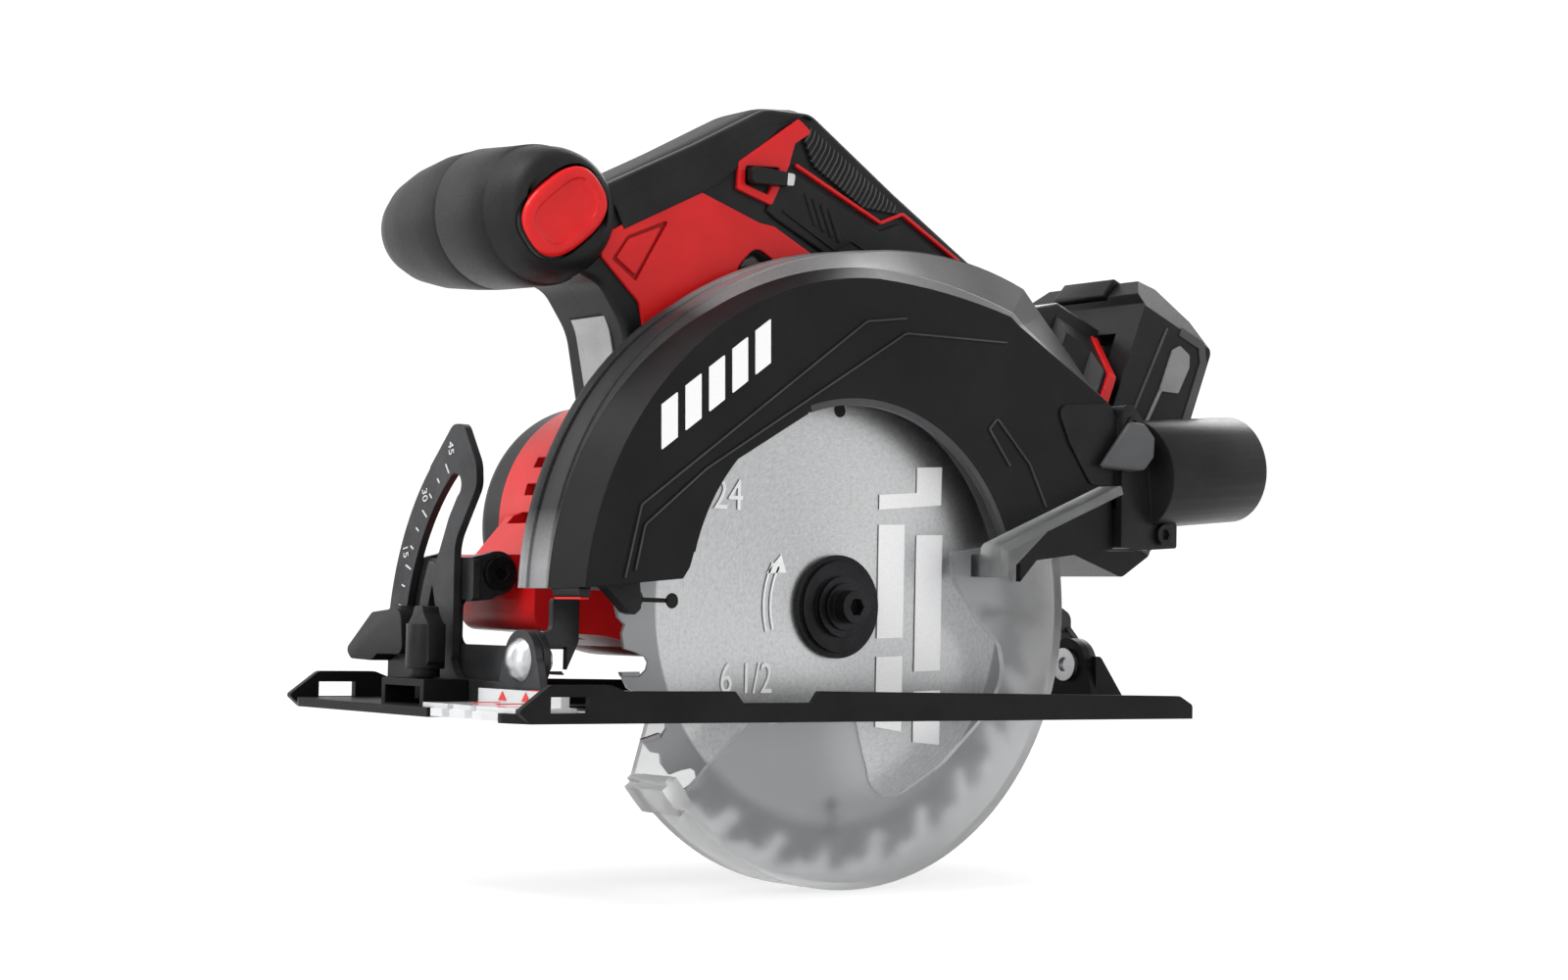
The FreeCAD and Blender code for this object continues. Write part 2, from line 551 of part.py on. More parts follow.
def pinion():
    return spur(MOTOR_X, MOTOR_Z, PINION_TEETH, MOTOR_ANGLE + 180, -22.5, -11.5, 2.5)


def bearing(x, z, r_out, r_in, y0, y1):
    """Sealed ball bearing: two rings with a recessed shield between."""
    span = r_out - r_in
    outer = ring_y(x, z, r_out, r_out - span * 0.28, y0, y1)
    inner = ring_y(x, z, r_in + span * 0.28, r_in, y0, y1)
    shield = ring_y(x, z, r_out - span * 0.28, r_in + span * 0.28, y0 + 0.6, y1 - 0.6)
    return join([outer, inner, shield])


def retaining_ring():
    ring = ring_y(0, ARBOR_Z, 22.2, 19.2, -36.9, -35.9)
    return ring.cut(box(-3, 3, -38, -35, ARBOR_Z - 24, ARBOR_Z - 18))


# ---------------------------------------------------------------- guards
CAVITY_Y0, CAVITY_Y1 = -54.8, -30.5


def guard_profile(y, front, top, corner_a, corner_b, right):
    """Wire of the upper guard at one depth: two arcs over the blade, then straight facets."""
    place = on_xz(y)
    first = Part.Arc(place(*front[0]), place(*front[1]), place(*front[2])).toShape()
    second = Part.Arc(place(*front[2]), place(*top[0]), place(*top[1])).toShape()
    third = Part.Arc(place(*top[1]), place(*top[2]), place(*top[3])).toShape()
    chain = [top[3], corner_a, corner_b] + right + [front[0]]
    lines = [Part.LineSegment(place(*chain[i]), place(*chain[i + 1])).toShape()
             for i in range(len(chain) - 1)]
    return Part.Wire([first, second, third] + lines)


FAR_PROFILE = dict(front=[(-104, 38.2), (-90.5, 87), (-52.4, 125.4)],
                   top=[(-22.5, 140.4), (10, 147.8), (47, 149.4), (80, 142.0)],
                   corner_a=(88, 134), corner_b=(111, 112),
                   right=[(114, 56), (74, 52), (60, 38.2)])
NEAR_PROFILE = dict(front=[(-101.6, 38.2), (-86.0, 86), (-50.3, 121.5)],
                    top=[(-23.0, 133.4), (5, 137.6), (31, 135.6), (60, 130.2)],
                    corner_a=(64, 127.4), corner_b=(104, 105),
                    right=[(107, 56), (73, 51.4), (60, 38.2)])


def guard_shell():
    """Whole upper guard before it is split into the cast body and the black cover."""
    bevel_y = -41.0
    far = Part.Face(guard_profile(GUARD_FAR_Y, **FAR_PROFILE)).extrude(vec(0, bevel_y - GUARD_FAR_Y, 0))
    loft = Part.makeLoft([guard_profile(bevel_y, **FAR_PROFILE), guard_profile(GUARD_NEAR_Y, **NEAR_PROFILE)],
                         True, True)
    solid = join([far, loft])
    main = cyl_y(0, ARBOR_Z, 98.0, CAVITY_Y0, CAVITY_Y1)
    rear = prism_xz([(20, 60), (20, 128), (62, 126), (100, 104), (104, 60), (60, 44)], CAVITY_Y0, -38.5)
    upper = cyl_y(17, 26, 117.5, -43, CAVITY_Y1)
    keep = box(-120, 104.5, -70, 0, 41, 160)
    hollow = join([main, rear, upper]).common(keep)
    skirt = join([main, rear]).common(box(-101, 104.5, -70, 0, 20, 42))
    chute = box(100, 120, CAVITY_Y0, -40, 72, 96)
    pack_side = pack_extrude([(-10.5, PACK_NEAR_Y - 1.2), (60, PACK_NEAR_Y - 1.2), (60, 0), (-10.5, 0)],
                             -90, 60)
    return solid.cut(hollow).cut(skirt).cut(chute).cut(pack_side)


def face_window():
    """Opening in the near face that shows the blade: arc over the arbor, slanting front edge."""
    disc = cyl_y(0, ARBOR_Z, 65.0, -60, CAVITY_Y0 + 0.5)
    front = prism_xz([(-103, 20), (-103, 38.4), (-67.4, 42.0), (-65.0, 45.4), (-60.0, 62.0, 10),
                      (-56.6, 73.5, 6),
                      (-22, 93.6), (-22, 101), (66, 101), (66, 20)], -60, CAVITY_Y0 + 0.5)
    low = box(-103, 74, -60, CAVITY_Y0 + 0.5, 20, 50)
    return join([disc.common(front), front.common(join([disc, low]))])


def upper_guard_parts():
    """The cast body (far side) and the cover (near side), parted by a slanting plane."""
    shell = guard_shell().cut(face_window())
    normal = vec(-0.071, -1.0, -0.0223)
    knife = Part.makeBox(600, 600, 200, vec(-300, -300, 0))
    knife.Placement = FreeCAD.Placement(vec(-104, -40.6, 38), FreeCAD.Rotation(vec(0, 0, 1), normal))
    cover = shell.common(knife)
    body = shell.cut(knife)
    neck_disc = cyl_y(0, ARBOR_Z, 31.4, CAVITY_Y1, GUARD_FAR_Y)
    far_plate = join([body, neck_disc])
    far_plate = far_plate.cut(cyl_y(0, ARBOR_Z, 21.0, CAVITY_Y1 - 1, GUARD_FAR_Y + 1))
    return far_plate, cover


def ridge(points, width, y0, y1):
    """Raised line on the cover's face, along straight runs."""
    bars = []
    for a, b in zip(points[:-1], points[1:]):
        dx, dz = b[0] - a[0], b[1] - a[1]
        length = math.hypot(dx, dz)
        nx, nz = -dz / length * width / 2, dx / length * width / 2
        bars.append(prism_xz([(a[0] + nx, a[1] + nz), (b[0] + nx, b[1] + nz),
                              (b[0] - nx, b[1] - nz), (a[0] - nx, a[1] - nz)], y0, y1))
        bars.append(cyl_y(b[0], b[1], width / 2, y0, y1))
    return join(bars)


def guard_lip(cover):
    """Rolled lip round the blade window."""
    return sector_xz(0, ARBOR_Z, 62.8, 65.0, 16, 109.0, GUARD_NEAR_Y + 0.2, CAVITY_Y0 + 0.6).cut(cover)


def guard_bumper():
    """Black strip under the front edge of the upper guard."""
    return prism_xz([(-103.2, 38.2), (-99.4, 38.2), (-99.4, 35.8), (-102.4, 35.8, 1)], -56.2, -41.4)


LOWER_NEAR_Y0, LOWER_NEAR_Y1 = -53.6, -51.6
LOWER_FAR_Y0, LOWER_FAR_Y1 = -35.6, -33.4
NOSE = 222.0                  # angle of the lower guard's front edge round the arbor
TAIL = 372.0                  # its rear edge, when closed


def lower_guard():
    """Clear swinging guard: rim, far plate on a hub, near plate open in the middle."""
    front = NOSE - 5
    rim = sector_xz(0, ARBOR_Z, LOWER_R - 2.2, LOWER_R, front, TAIL, LOWER_NEAR_Y0, LOWER_FAR_Y1)
    disc = cyl_y(0, ARBOR_Z, LOWER_R - 1, LOWER_NEAR_Y0 - 1, LOWER_FAR_Y1 + 1)
    far = sector_xz(0, ARBOR_Z, 24.0, LOWER_R - 1, front, TAIL, LOWER_FAR_Y0, LOWER_FAR_Y1)
    brow = prism_xz([(-69, -18), (-60, 12, 12), (-20, 16), (-20, -18)], LOWER_FAR_Y0,
                    LOWER_FAR_Y1).common(disc)
    hub = ring_y(0, ARBOR_Z, 28.0, 20.0, LOWER_FAR_Y0, LOWER_FAR_Y1 + 2.4)
    near = sector_xz(0, ARBOR_Z, 48.0, LOWER_R - 1, NOSE, TAIL, LOWER_NEAR_Y0, LOWER_NEAR_Y1)
    lobe = prism_xz([(-67, -27.6), (-53.3, -12.5, 20), (-27, 1.0, 4), (1, 1.0, 4), (7.4, -20.3, 5),
                     (13.5, -25, 6), (40, -30), (20, -52), (-30, -48)],
                    LOWER_NEAR_Y0, LOWER_NEAR_Y1).common(disc)
    cut = prism_xz([(1, 6, 3), (7.4, -20.3, 5), (13.5, -25, 6), (20.2, -23.9, 8), (37.3, -14.7, 20),
                    (57, 2, 20),
                    (63, 14, 12), (61, 24, 8), (52, 31, 8), (41, 44, 8), (39.5, 56), (10, 60), (1, 40)],
                   LOWER_NEAR_Y0 - 1, LOWER_NEAR_Y1 + 1)
    plate = join([near, lobe]).cut(cut)
    tab = prism_xz([(39.8, 53, 1), (66, 57, 1), (70, 40, 3), (64, 30, 2), (52, 31, 6), (41, 44, 6)],
                   LOWER_NEAR_Y0, LOWER_NEAR_Y1)
    nose = sector_xz(0, ARBOR_Z, LOWER_R - 4, LOWER_R + 2.4, NOSE - 4, NOSE + 2.5,
                     LOWER_NEAR_Y0, LOWER_FAR_Y1)
    solid = join([rim, far, brow, hub, plate, tab, nose])
    solid = solid.cut(cyl_y(0, ARBOR_Z, 20.0, LOWER_FAR_Y0 - 1, LOWER_FAR_Y1 + 5))
    return solid.cut(cyl_y(0, ARBOR_Z, LOWER_R - 4.2, LOWER_NEAR_Y1 + 0.01, LOWER_FAR_Y0 - 0.01))


LEVER_Y0, LEVER_Y1 = -68.0, -58.2


def guard_lever():
    """Lift lever of the lower guard: strap out to the rear, standing clear of the cover."""
    strap = prism_xz([(47.6, 45.4), (50.4, 45.4), (50.4, 53.6, 2), (101, 74.0), (100, 77.0, 1),
                      (47.6, 55.6, 3)],
                     LEVER_Y0, LEVER_Y1)
    web = prism_xz([(49, 45.4), (56, 45.4), (80, 65.5), (49, 53)], LEVER_Y1 - 2.2, LEVER_Y1)
    post = prism_xz([(47.6, 45.4), (54, 45.4), (54, 51.6), (49, 52.6), (47.6, 52.6)], LEVER_Y1, LOWER_NEAR_Y0)
    return join([strap, web, post])


def return_spring():
    """Two closed turns of the guard's return spring, round the gear case neck."""
    turns = [Part.makeTorus(30.6, 0.55, vec(0, CAVITY_Y1 - 0.55 - 1.1 * k, ARBOR_Z),
                            vec(0, 1, 0)) for k in range(2)]
    return Part.makeCompound(turns)


# ---------------------------------------------------------------- dust port
PORT_Y = -54.0
PORT_TILT = 5.3


def port_tube(r, start, length):
    axis = vec(math.cos(math.radians(PORT_TILT)), 0, math.sin(math.radians(PORT_TILT)))
    origin = vec(128.0, PORT_Y, 82.3)
    return Part.makeCylinder(r, length, origin + axis * start, axis)


def dust_port():
    block = prism_xz([(107.6, 104.4, 3), (112.4, 104.4, 1), (116.8, 99.6, 2), (124, 92), (126, 64, 3),
                      (122, 56, 2), (107.6, 56.6, 1)],
                     -60.5, -35.4)
    lug = prism_xz([(112, 55.6, 1), (134, 57.2, 1), (134, 66, 2), (120, 68)], -60, -48)
    tube = port_tube(18.3, -8, 44.7)
    ear = prism_xz([(80.3, 102.6, 3), (103.6, 104.8), (109.0, 98), (109.0, 77), (96, 77.2, 3),
                    (86.1, 90.7, 8)],
                   -57.85, GUARD_NEAR_Y)
    solid = join([block, tube, lug, ear])
    solid = solid.cut(port_tube(16.0, -4, 50))
    return solid.cut(box(107, 119, -57.5, -38.5, 70, 98))


def port_screws():
    near = screw(vec(126.5, -60, 61.6), vec(0, 1, 0), 3.4, 2.2, 1.9, 9)
    side = screw(vec(112.0, -60.5, 98.0), vec(0, 1, 0), 2.6, 0.8, 1.3, 6)
    return Part.makeCompound([near, side])


# ---------------------------------------------------------------- gear case and motor
def stadium(r_arbor, r_motor, y0, y1):
    """Body round both the arbor and the motor axes."""
    a, b = (0, ARBOR_Z), (MOTOR_X, MOTOR_Z)
    ux, uz = (b[0] - a[0]) / GEAR_DISTANCE, (b[1] - a[1]) / GEAR_DISTANCE
    sin_t = (r_arbor - r_motor) / GEAR_DISTANCE
    cos_t = math.sqrt(1 - sin_t * sin_t)
    corners = []
    for side in (1, -1):
        nx = ux * sin_t - side * uz * cos_t
        nz = uz * sin_t + side * ux * cos_t
        pair = [(a[0] + nx * r_arbor, a[1] + nz * r_arbor), (b[0] + nx * r_motor, b[1] + nz * r_motor)]
        corners += pair if side == 1 else pair[::-1]
    hull = prism_xz(corners, y0, y1)
    return join([hull, cyl_y(a[0], a[1], r_arbor, y0, y1), cyl_y(b[0], b[1], r_motor, y0, y1)])


CASE_R, CASE_MOTOR_R = 31.4, 26.0


def gear_case():
    shell = stadium(CASE_R, CASE_MOTOR_R, GUARD_FAR_Y, -9.0)
    hollow = stadium(CASE_R - 1.8, CASE_MOTOR_R - 2.6, -25.0, -8.5)
    neck = cyl_y(0, ARBOR_Z, 20.0 - FIT, -36.9, GUARD_FAR_Y)
    groove = ring_y(0, ARBOR_Z, 21.0, 19.2, -36.9, -35.9)
    solid = join([shell.cut(hollow), neck]).cut(groove)
    return solid.cut(cyl_y(0, ARBOR_Z, 14.0, -35.0, -20)).cut(cyl_y(0, ARBOR_Z, 9.0, -40, -30))


def gear_case_cover():
    """Bearing plate between gears and motor."""
    plate = stadium(CASE_R, CASE_MOTOR_R, -9.0, -4.6)
    plate = plate.cut(cyl_y(0, ARBOR_Z, 9.5, -9.5, -5.2))
    plate = plate.cut(cyl_y(MOTOR_X, MOTOR_Z, 8.0, -8.6, -4)).cut(cyl_y(MOTOR_X, MOTOR_Z, 5.0, -10, -4))
    return plate


BARREL_R = 42.5


def motor_housing():
    """Red motor barrel with its lower nose, vent slots and the lug on the depth pin."""
    barrel = cyl_y(MOTOR_X, MOTOR_Z, BARREL_R, -4.4, 50)
    nose = prism_xz([(-86.2, 25.6, 6), (-60, 24.2, 6), (-42, 20.6, 8), (-10, 18.6, 8), (8, 26), (8, 50),
                     (-50, 70),
                     (-70, 62), (-86.2, 44, 6)], -4.4, 40)
    lug = join([cyl_y(DEPTH_X, DEPTH_Z, 6.0, LUG_Y0, LUG_Y1),
                prism_xz([(DEPTH_X, DEPTH_Z - 6.0), (-80, 34), (-80, 49), (DEPTH_X, DEPTH_Z + 6.0)],
                         LUG_Y0, LUG_Y1)])
    solid = join([barrel, nose, lug])
    solid = solid.cut(cyl_y(MOTOR_X, MOTOR_Z, BARREL_R - 3, -1.4, 51)).cut(cyl_y(MOTOR_X, MOTOR_Z, 5.0, -5,
            0))
    solid = solid.cut(prism_xz([(-83, 29), (-60, 27.4), (-12, 22), (5, 29), (5, 40), (-60, 60), (-83, 42)],
                               -1.4, 37))
    solid = join([solid, ring_y(MOTOR_X, MOTOR_Z, BARREL_R - 2, 31.0, 12, 15),
                  ring_y(MOTOR_X, MOTOR_Z, BARREL_R - 2, 31.0, 38, 41)])
    slots = []
    for k in range(7):
        a = 152 + 13 * k
        slot = box(30, 50, 18, 36, -2.0, 2.0)
        slot.rotate(vec(0, 0, 0), vec(0, -1, 0), a)
        slot.translate(vec(MOTOR_X, 0, MOTOR_Z))
        slots.append(slot)
    solid = solid.cut(slots)
    return solid.cut(cyl_y(DEPTH_X, DEPTH_Z, 3.0 + FIT, 0, 60))


def motor_end_cap():
    y0, y1 = 50.0, 68.0
    cup = cyl_y(MOTOR_X, MOTOR_Z, 41.3, y0, y1)
    cup = cup.makeFillet(7.5, rim_edges(cup, y1))
    cup = cup.cut(cyl_y(MOTOR_X, MOTOR_Z, 38.0, y0 - 1, y1 - 5))
    boss = ring_y(MOTOR_X, MOTOR_Z, 11.0, 8.0, y1 - 12, y1 - 4)
    slots = [cyl_y(*polar(MOTOR_X, MOTOR_Z, 24, 30 * k), 3.2, y0, y1 + 1) for k in range(12)]
    return join([cup, boss]).cut(slots)


def motor_can():
    """Steel stator can with its four magnets."""
    can = ring_y(MOTOR_X, MOTOR_Z, 31.0, 28.6, 6, 46)
    magnets = [sector_xz(MOTOR_X, MOTOR_Z, 24.4, 28.7, 90 * k + 8, 90 * k + 82, 10, 42) for k in range(4)]
    return join([can] + magnets)


def armature():
    core = cyl_y(MOTOR_X, MOTOR_Z, 23.4, 13, 39)
    slots = []
    for k in range(12):
        c = polar(MOTOR_X, MOTOR_Z, 19.0, 30 * k)
        slots.append(cyl_y(c[0], c[1], 2.8, 12, 40))
        mouth = box(19, 25, 12, 40, -0.8, 0.8)
        mouth.rotate(vec(0, 0, 0), vec(0, -1, 0), 30 * k)
        mouth.translate(vec(MOTOR_X, 0, MOTOR_Z))
        slots.append(mouth)
    return core.cut(slots).cut(cyl_y(MOTOR_X, MOTOR_Z, 4.0, 10, 45))


def windings():
    """Copper coils: one bundle in each core slot."""
    bundles = [cyl_y(*polar(MOTOR_X, MOTOR_Z, 19.0, 30 * k), 2.6, 11, 41) for k in range(12)]
    return Part.makeCompound(bundles)


def motor_shaft():
    return turned_y(MOTOR_X, MOTOR_Z, [(2.5, -24, -8.6), (4.0, -8.6, 62)])


def commutator():
    drum = ring_y(MOTOR_X, MOTOR_Z, 9.0, 4.0, 42.5, 54)
    cuts = []
    for k in range(12):
        gap = box(7.6, 10, 42, 55, -0.25, 0.25)
        gap.rotate(vec(0, 0, 0), vec(0, -1, 0), 30 * k)
        gap.translate(vec(MOTOR_X, 0, MOTOR_Z))
        cuts.append(gap)
    return drum.cut(cuts)


def cooling_fan():
    hub = ring_y(MOTOR_X, MOTOR_Z, 8.0, 4.0, -1, 5)
    plate = ring_y(MOTOR_X, MOTOR_Z, 30.0, 7.0, -1, 0.4)
    blades = []
    for k in range(14):
        wing = box(9, 30, 0.2, 5, -0.6, 0.6)
        wing.rotate(vec(9, 0, 0), vec(0, -1, 0), 25)
        wing.rotate(vec(0, 0, 0), vec(0, -1, 0), 360.0 / 14 * k)
        wing.translate(vec(MOTOR_X, 0, MOTOR_Z))
        blades.append(wing)
    fan = join([hub, plate] + blades)
    return fan.common(cyl_y(MOTOR_X, MOTOR_Z, 30.0, -1, 5))


def brush_gear():
    """Brush ring with two holders."""
    ring = ring_y(MOTOR_X, MOTOR_Z, BARREL_R - 3, 20.0, 47, 50)
    holders = [box(9.6, 22, 44.6, 51.6, -3.4, 3.4) for _ in range(2)]
    holders[1].rotate(vec(0, 0, 0), vec(0, 1, 0), 180)
    for h in holders:
        h.translate(vec(MOTOR_X, 0, MOTOR_Z))
    return join([ring] + holders).cut(brush_blocks())


def brush_blocks():
    """Two carbon brushes that ride on the commutator."""
    blocks = [box(9.1, 18, 45.6, 50.6, -2.4, 2.4) for _ in range(2)]
    blocks[1].rotate(vec(0, 0, 0), vec(0, 1, 0), 180)
    for b in blocks:
        b.translate(vec(MOTOR_X, 0, MOTOR_Z))
    return Part.makeCompound(blocks)


# ---------------------------------------------------------------- body and handles
BARREL_AXIS = (-90.5, 153.0)           # front handle, along Y

BODY = [(-58, 82), (-65.5, 120, 20), (-74, 132, 10), (-92, 139, 6), (-96, 158, 6), (-75, 162, 10),
        (-38.7, 180.2, 60), (-12, 194.6, 14), (6, 195.2, 8), (41, 173.0, 40), (88, 145.0, 10), (99, 139),
        pack_point(20, -22), pack_point(20, -0.4), pack_point(-60, -0.4), pack_point(-62, -20),
        (40, 60, 6), (6, 70)]
D_OPENING = [(-22, 140.5, 5), (-17.5, 147.2, 4), (20, 127, 10), (58, 104, 8), (74, 100, 6), (79, 84, 6),
             (50, 86, 8), (0, 104, 8), (-16, 110, 8)]


def body_half(y0, y1):
    """One half of the clamshell: column, top bar, handle, battery foot and lower bar."""
    opening = prism_xz(D_OPENING, y0 - 1, y1 + 1)
    return prism_xz(BODY, y0, y1).cut(opening)


def body_hollow(y0, y1):
    """Inside of the clamshell: handle, column and foot cavities."""
    grip = prism_xz([(-60, 152, 6), (-12, 179, 6), (4, 181, 6), (72, 139, 4), (60, 113, 4), (20, 136, 4),
                     (-14, 156, 4), (-40, 140, 4)],
                    y0, y1)
    column = prism_xz([(-52, 104, 3), (-57, 134, 4), (-38, 146, 4), (-30, 140, 4), (-30, 118, 4),
                       (-40, 104, 3)], y0, y1)
    foot = pack_prism([(8, -18, 2), (8, -5, 2), (-52, -5, 2), (-52, -16, 2)], y0, y1)
    return join([grip, column, foot])


def housing_parts():
    """Near and far halves of the clamshell, cleared round the motor, gears and handles."""
    near = body_half(HANDLE_NEAR_Y, HANDLE_MID_Y)
    far = body_half(HANDLE_MID_Y, HANDLE_FAR_Y)
    near = near.makeFillet(2.2, [e for e in rim_edges(near, HANDLE_NEAR_Y) if e.Length > 8])
    far = far.makeFillet(2.2, [e for e in rim_edges(far, HANDLE_FAR_Y) if e.Length > 8])
    near = near.cut(body_hollow(HANDLE_NEAR_Y + WALL, HANDLE_MID_Y + 1))
    far = far.cut(body_hollow(HANDLE_MID_Y - 1, HANDLE_FAR_Y - WALL))
    near = near.fuse(depth_block(ARC_Y1 + GAP, HANDLE_MID_Y))
    far = far.fuse(depth_block(HANDLE_MID_Y, HANDLE_FAR_Y))
    x, z = depth_bolt_point()
    keep_out = [stadium(CASE_R + 0.3, CASE_MOTOR_R + 0.3, GUARD_FAR_Y - 1, -4.3),
                cyl_y(MOTOR_X, MOTOR_Z, BARREL_R, -4.4, 60), front_barrel(), column_trim(),
                trigger_slot(), lock_slot(), trigger_pin(), cyl_y(x, z, 3.0, -40, 40),
                cyl_y(SPINDLE_LOCK_X, SPINDLE_LOCK_Z, 3.5 + 2 * FIT, 1, 40), housing_screws(),
                tilted_block(-31, 1, -6, 0, HANDLE_MID_Y - 10.5, HANDLE_MID_Y + 10.5)]
    return largest(near.cut(keep_out)), largest(far.cut(keep_out))


def largest(shape):
    solids = sorted(shape.Solids, key=lambda s: -s.Volume)
    return solids[0]


COLLAR_TOP, COLLAR_TOP_HALF = 22.0, 11.0


def collar_corner(side):
    """Wedge that takes one top corner off the battery collar, so that it narrows to its top."""
    out0, out1 = -30.0, 0.45
    corners = [(PACK_HALF, 0), (COLLAR_TOP_HALF, COLLAR_TOP), (COLLAR_TOP_HALF, COLLAR_TOP + 3),
               (PACK_HALF + 4, COLLAR_TOP + 3), (PACK_HALF + 4, 0)]
    points = []
    for across, up in corners:
        x, z = pack_point(up, out0)
        points.append(vec(x, HANDLE_MID_Y + side * across, z))
    (x0, z0), (x1, z1) = pack_point(0, out0), pack_point(0, out1)
    return Part.Face(Part.makePolygon(points + points[:1])).extrude(vec(x1 - x0, 0, z1 - z0))


def foot_shroud():
    """Flared collar round the battery seat, with rails that the pack slides on."""
    near, far = HANDLE_NEAR_Y, HANDLE_FAR_Y
    wide = PACK_HALF - HANDLE_HALF
    collars = []
    for y, side in ((near, -1), (far, 1)):
        collars.append(pack_extrude([(-9.6, y), (-9.4, y + side * 4), (-5, y + side * (wide - 1)),
                                     (-0.4, y + side * wide), (-0.4, y)], -63, 22))
        collars.append(pack_extrude([(-22, y), (-20, y + side * 6), (-8, y + side * 7), (-8, y)], -38, 18))
    plate = tilted_block(-63, COLLAR_TOP, -0.4, 0.4, PACK_NEAR_Y, PACK_FAR_Y)
    rails = [tilted_block(-55, 14, -0.2, 3.4, HANDLE_MID_Y + side * 17 - 3, HANDLE_MID_Y + side * 17 + 3)
             for side in (-1, 1)]
    block = depth_block(ARC_Y1 + GAP, near)
    solid = join(collars + [plate] + rails).cut(terminal_block()).cut(block)
    return largest(solid.cut(collar_corner(-1)).cut(collar_corner(1)))


def front_barrel():
    """Front handle: round bar across the saw, fuller in the middle and tapered at the far end."""
    x, z = BARREL_AXIS
    sections = [(-24.5, 15.0), (-22.5, 18.2), (-17, 20.4), (0, 22.0), (18, 22.6), (40, 20.6), (58, 18.4),
                (67, 14.5), (71, 8.0)]
    wires = [Part.Wire(Part.makeCircle(r, vec(x, y, z + (2.0 if y > 0 else 0.0) * min(1, y / 20)),
                                       vec(0, 1, 0)))
             for y, r in sections]
    return Part.makeLoft(wires, True, False).cut(cyl_y(x, z, 14.0, -25.5, -21.6))


def barrel_cap():
    """Red oval button in the near end of the front handle."""
    x, z = BARREL_AXIS
    oval = prism_xz([(x - 13.2, z - 9.4, 8), (x + 1.5, z - 13.4, 8), (x + 13.2, z + 8.4, 8),
                     (x - 0.5, z + 13.6, 8)],
                    -26.4, -21.6)
    return oval.common(cyl_y(x, z, 13.9, -27, -21))


def column_trim():
    """Light panel down the front of the column."""
    return prism_xz([(-59.4, 89), (-66.1, 120, 18), (-68.5, 124.5), (-67.4, 125.2), (-64.9, 120, 18),
                     (-58.2, 89)],
                    HANDLE_MID_Y - 9.5, HANDLE_MID_Y + 9.5)


def spine_cover():
    """Black soft cover over the top bar, from the front handle to the top of the grip."""
    side = [(-75, 141, 2), (-71.6, 149.8, 3), (-41.4, 166, 4), (-24, 160, 3), (-25.4, 176, 2), (0, 193),
            (7.5, 194, 2), (5, 197.0, 6), (-12, 196.6, 14), (-40, 181.6, 60), (-74.5, 163.6, 8),
            (-80, 150, 4)]
    outer = prism_xz(side, HANDLE_NEAR_Y - SKIN, HANDLE_FAR_Y + SKIN)
    inner = prism_xz(BODY, HANDLE_NEAR_Y, HANDLE_FAR_Y)
    return largest(outer.cut(inner).cut(front_barrel()))


def grip_cover():
    """Ribbed soft grip over the back of the handle."""
    side = [(6, 193.4), (41, 174.2, 40), (88.4, 146.2, 4), (80, 144.4), (74.6, 149.4, 2), (43.2, 166.2, 2),
            (34, 162.3, 2), (-0.5, 178.0, 1), (0.5, 185, 2), (6, 190)]
    outer = prism_xz(side, HANDLE_NEAR_Y - SKIN, HANDLE_FAR_Y + SKIN)
    inner = prism_xz(BODY, HANDLE_NEAR_Y, HANDLE_FAR_Y)
    return largest(outer.cut(inner).cut(spine_cover()))


def side_panel(y0, y1):
    """Black side panel of the grip, below the pinstripe."""
    return prism_xz([(-8.6, 172), (-1.2, 175.9, 1), (34, 160.8, 2), (43.2, 164.6, 2), (74.6, 148),
                     (84, 140.6), (60, 128, 4), (8.5, 149, 2),
                     (-9.8, 157.8, 2), (-13.5, 160.5)], y0, y1)


def lock_bezel(y0, y1):
    """Red six-sided surround of the lock-off lever."""
    plate = prism_xz([(-24.4, 175.6, 1), (-1.0, 192.2, 1), (4.6, 188.4, 1), (-2.2, 184.0, 1),
                      (-4.4, 176.6, 1),
                      (-11.0, 163.0, 1), (-24.6, 166.8, 1)], y0, y1)
    return plate.cut(prism_xz([(-21.8, 174.6, 1), (-7.2, 175.6, 1), (-12.6, 166.2, 1), (-21.8, 168.6, 1)],
                              y0 - 1, y1 + 1))


LOCK_PIVOT = (-18.8, 171.4)


def lock_off():
    """Lever across the grip that frees the trigger, with a thumb pad on each side."""
    x, z = LOCK_PIVOT
    shaft = cyl_y(x, z, 2.2, HANDLE_NEAR_Y - 2.2, HANDLE_FAR_Y + 2.2)
    pads = [prism_xz([(x - 2.6, z - 2.6, 1.5), (x + 12, z - 2.2, 1), (x + 13, z + 2.2, 1),
                      (x - 2.6, z + 2.8, 1.5)],
                     y, y + 3.2) for y in (HANDLE_NEAR_Y - 5.2, HANDLE_FAR_Y + 2.0)]
    return join([shaft] + pads)


def lock_slot():
    x, z = LOCK_PIVOT
    return cyl_y(x, z, 2.2 + FIT, -60, 60)


TRIGGER_PIVOT = (-8.0, 151.5)


def trigger():
    """Finger trigger under the handle, on a pin at its front end."""
    x, z = TRIGGER_PIVOT
    blade_ = prism_xz([(x - 3.0, z - 2.0, 2), (x - 1.5, z - 12.5, 2), (x + 8, z - 15.5, 8),
                       (x + 26, z - 26, 3), (x + 31, z - 24, 2),
                       (x + 27, z - 10, 3), (x + 6, z + 3.2, 3)], HANDLE_MID_Y - 8, HANDLE_MID_Y + 8)
    return blade_.cut(cyl_y(x, z, 2.0 + FIT, -40, 40))


